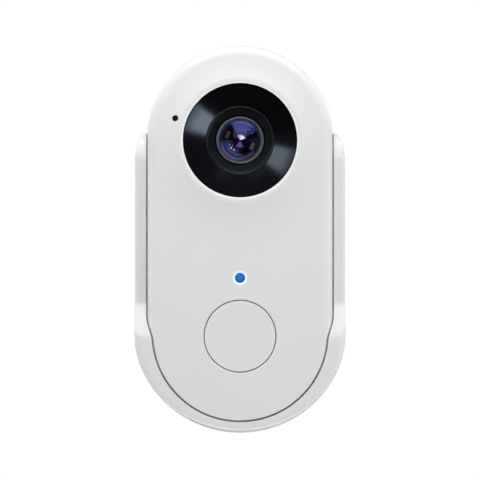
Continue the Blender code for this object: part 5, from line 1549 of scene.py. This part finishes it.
# ---- stage ---------------------------------------------------------------
FLOOR_UP = -0.6              # height of the floor
FLOOR_HALF = 4               # half of its width
FLOOR_BOUNCE = (0.30, 0.30, 0.31, 1)     # floor, as its light falls on the object
FLOOR_MIRRORED = (0.05, 0.05, 0.05, 1)   # floor, as reflections see it
WORLD_LEVEL = 0.34           # even light from all sides
ROOM_FRONT = (0.07, 0.07, 0.072, 1)      # room in front, as reflections see it
ROOM_BEHIND = (0.12, 0.12, 0.12, 1)      # room behind, as reflections see it
FAR = 30                     # end of the camera's view
WARM, COOL, PLAIN = (1.0, 0.985, 0.965), (0.955, 0.96, 1.0), (1.0, 1.0, 1.0)
# name, degrees off the line of view, direction on the wall, distance, radial
# size, size round the line of view, radiance, tint
LAMPS = (
    ("overhead", 82, 90, 0.45, 0.25, 0.8, 3.0, PLAIN),
    ("below", 84, -90, 0.45, 0.2, 0.7, 1.3, PLAIN),
    ("underneath", 100, -90, 0.45, 0.2, 0.7, 2.2, PLAIN),
    ("high_front", 23, 90, 0.5, 0.28, 0.4, 2.85, PLAIN),
    ("left_panel", 46.5, 155, 0.5, 0.11, 0.2, 4.0, WARM),
    ("right_panel", 46.5, -25, 0.5, 0.11, 0.2, 6.2, COOL),
    ("left_side", 83, 180, 0.6, 0.3, 0.6, 1.3, WARM),
    ("right_side", 83, 0, 0.6, 0.3, 0.6, 1.3, COOL),
    ("behind_left", 130, 160, 0.8, 0.4, 0.4, 2.0, PLAIN),
    ("behind_right", 130, 20, 0.8, 0.4, 0.4, 2.0, PLAIN),
)


def lamp(name, off_axis, around, distance, radial, along, radiance, tint, stage):
    """Soft lamp aimed at the camera ring.

    off_axis is its angle from the line of view and around its direction on the
    wall, both in degrees. radial and along are its sizes away from the line of
    view and round it. Power is radiance times pi times area.
    """
    tilt, turn = math.radians(off_axis), math.radians(around)
    aim = np.array([0.0, -SHELL_HIGH[2], LENS_UP])
    away = np.array([math.sin(tilt) * math.cos(turn), -math.cos(tilt),
                     math.sin(tilt) * math.sin(turn)])
    data = bpy.data.lights.new(name, "AREA")
    data.shape = "RECTANGLE"
    data.size, data.size_y = radial, along
    data.energy = radiance * math.pi * radial * along * stage.brightness
    data.color = tint
    holder = add_object(name, data)
    holder.location = aim + away * distance
    y_axis = np.array([-math.sin(turn), 0, math.cos(turn)])
    x_axis = np.cross(y_axis, away)
    axes = Matrix(np.stack([x_axis, y_axis, away], axis=1).tolist())
    holder.rotation_euler = axes.to_euler()
    holder.visible_camera = False


def floor_material():
    """White to the eye with the object's shadow on it, dark as a reflection."""
    material = bpy.data.materials.new("stage_floor")
    material.use_nodes = True
    tree = material.node_tree
    tree.nodes.clear()
    path = add_node(tree, "ShaderNodeLightPath").outputs
    lit = add_node(tree, "ShaderNodeBsdfDiffuse", {"Color": (0.4, 0.4, 0.4, 1)})
    glow = add_node(tree, "ShaderNodeEmission", {"Strength": 0.9})
    seen = add_node(tree, "ShaderNodeAddShader", {0: lit.outputs[0], 1: glow.outputs[0]})
    bounce = add_node(tree, "ShaderNodeBsdfDiffuse", {"Color": FLOOR_BOUNCE})
    mirrored = add_node(tree, "ShaderNodeBsdfDiffuse", {"Color": FLOOR_MIRRORED})
    unseen = add_node(tree, "ShaderNodeMixShader", {
        0: path["Is Glossy Ray"], 1: bounce.outputs[0], 2: mirrored.outputs[0]})
    mixed = add_node(tree, "ShaderNodeMixShader", {
        0: path["Is Camera Ray"], 1: unseen.outputs[0], 2: seen.outputs[0]})
    add_node(tree, "ShaderNodeOutputMaterial", {0: mixed.outputs[0]})
    return material


def world_light(stage):
    """White to the eye and through glass, and a grey room to everything else.

    Reflections see a dark room in front of the doorbell and a slightly lighter
    one behind it, which keeps the outline apart from the white ground.
    """
    world = bpy.data.worlds.new("studio")
    bpy.context.scene.world = world
    world.use_nodes = True
    tree = world.node_tree
    tree.nodes.clear()
    path = add_node(tree, "ShaderNodeLightPath").outputs
    direction = add_node(tree, "ShaderNodeTexCoord").outputs["Generated"]
    along = add_node(tree, "ShaderNodeSeparateXYZ", {0: direction}).outputs["Y"]
    behind = add_node(tree, "ShaderNodeMapRange", {
        "Value": along, "From Min": 0.0, "From Max": 0.25, "To Min": 0.0, "To Max": 1.0})
    white = add_node(tree, "ShaderNodeBackground", {"Color": (1, 1, 1, 1)})
    grey = add_node(tree, "ShaderNodeBackground", {"Color": ROOM_BEHIND})
    dim = add_node(tree, "ShaderNodeBackground", {
        "Color": (1, 1, 1, 1), "Strength": WORLD_LEVEL * stage.brightness})
    dark = add_node(tree, "ShaderNodeBackground", {"Color": ROOM_FRONT})
    mirrored = add_node(tree, "ShaderNodeMixShader", {
        0: behind.outputs[0], 1: dark.outputs[0], 2: grey.outputs[0]})
    unseen = add_node(tree, "ShaderNodeMixShader", {
        0: path["Is Glossy Ray"], 1: dim.outputs[0], 2: mirrored.outputs[0]})
    seen = add_node(tree, "ShaderNodeMath", {
        0: path["Is Camera Ray"], 1: path["Is Transmission Ray"]}, operation="MAXIMUM")
    shown = add_node(tree, "ShaderNodeMixShader", {
        0: seen.outputs[0], 1: unseen.outputs[0], 2: white.outputs[0]})
    add_node(tree, "ShaderNodeOutputWorld", {0: shown.outputs[0]})


class SCENE_OT_doorbell_stage(bpy.types.Operator):
    """Set up the floor, the lamps, the world and the camera"""
    bl_idname = "scene.doorbell_stage"
    bl_label = "Stage"

    def execute(self, context):
        stage = context.scene.doorbell_stage
        spread = np.linspace(-FLOOR_HALF, FLOOR_HALF, 9)
        across, away = np.meshgrid(spread, spread)
        mesh = bpy.data.meshes.new("stage_floor")
        index = np.arange(81).reshape(9, 9)
        quads = np.stack([index[:-1, :-1], index[:-1, 1:], index[1:, 1:], index[1:, :-1]], -1)
        points = np.stack([across, away, np.full_like(across, FLOOR_UP)], -1)
        mesh.from_pydata(points.reshape(-1, 3), [], quads.reshape(-1, 4).tolist())
        mesh.materials.append(floor_material())
        add_object("stage_floor", mesh)
        world_light(stage)
        for setting in LAMPS:
            lamp(*setting, stage)
        view = bpy.data.cameras.new("front_view")
        view.lens = view.sensor_width * stage.distance / stage.width
        view.clip_end = FAR
        holder = add_object("front_view", view)
        holder.location = (0, -SHELL_HIGH[2] - stage.distance, stage.height)
        holder.rotation_euler = (math.pi / 2, 0, 0)
        context.scene.camera = holder
        context.scene.view_settings.view_transform = "Standard"
        return {"FINISHED"}


class VIEW3D_PT_doorbell(bpy.types.Panel):
    """Buttons and sizes of the doorbell"""
    bl_idname = "VIEW3D_PT_doorbell"
    bl_label = "Video Doorbell"
    bl_space_type = "VIEW_3D"
    bl_region_type = "UI"
    bl_category = "Doorbell"

    def draw(self, context):
        for step in STEPS:
            self.layout.operator(step.bl_idname)
        for key in GROUPS:
            group = getattr(context.scene, key)
            box = self.layout.box()
            for entry in group.bl_rna.properties:
                if entry.identifier not in ("rna_type", "name"):
                    box.prop(group, entry.identifier)


STEPS = (
    SCENE_OT_doorbell_stage,
    MESH_OT_doorbell_cradle,
    MESH_OT_doorbell_shell,
    MESH_OT_doorbell_cover,
    MESH_OT_doorbell_screws,
    MESH_OT_doorbell_camera,
    MESH_OT_doorbell_button,
    MESH_OT_doorbell_light,
    MESH_OT_doorbell_microphone,
    MESH_OT_doorbell_flap,
    MESH_OT_doorbell_inside,
)


def register():
    """Make the sizes, the operators and the panel known to Blender."""
    for made in (*GROUPS.values(), *STEPS, VIEW3D_PT_doorbell):
        bpy.utils.register_class(made)
    for key, group in GROUPS.items():
        setattr(bpy.types.Scene, key, bpy.props.PointerProperty(type=group))


def unregister():
    """Take them out again, in the opposite order."""
    for key in GROUPS:
        delattr(bpy.types.Scene, key)
    for made in reversed((*GROUPS.values(), *STEPS, VIEW3D_PT_doorbell)):
        bpy.utils.unregister_class(made)


def main():
    """Build everything in order."""
    register()
    for step in STEPS:
        group, name = step.bl_idname.split(".")
        getattr(getattr(bpy.ops, group), name)()


if __name__ == "__main__":
    main()
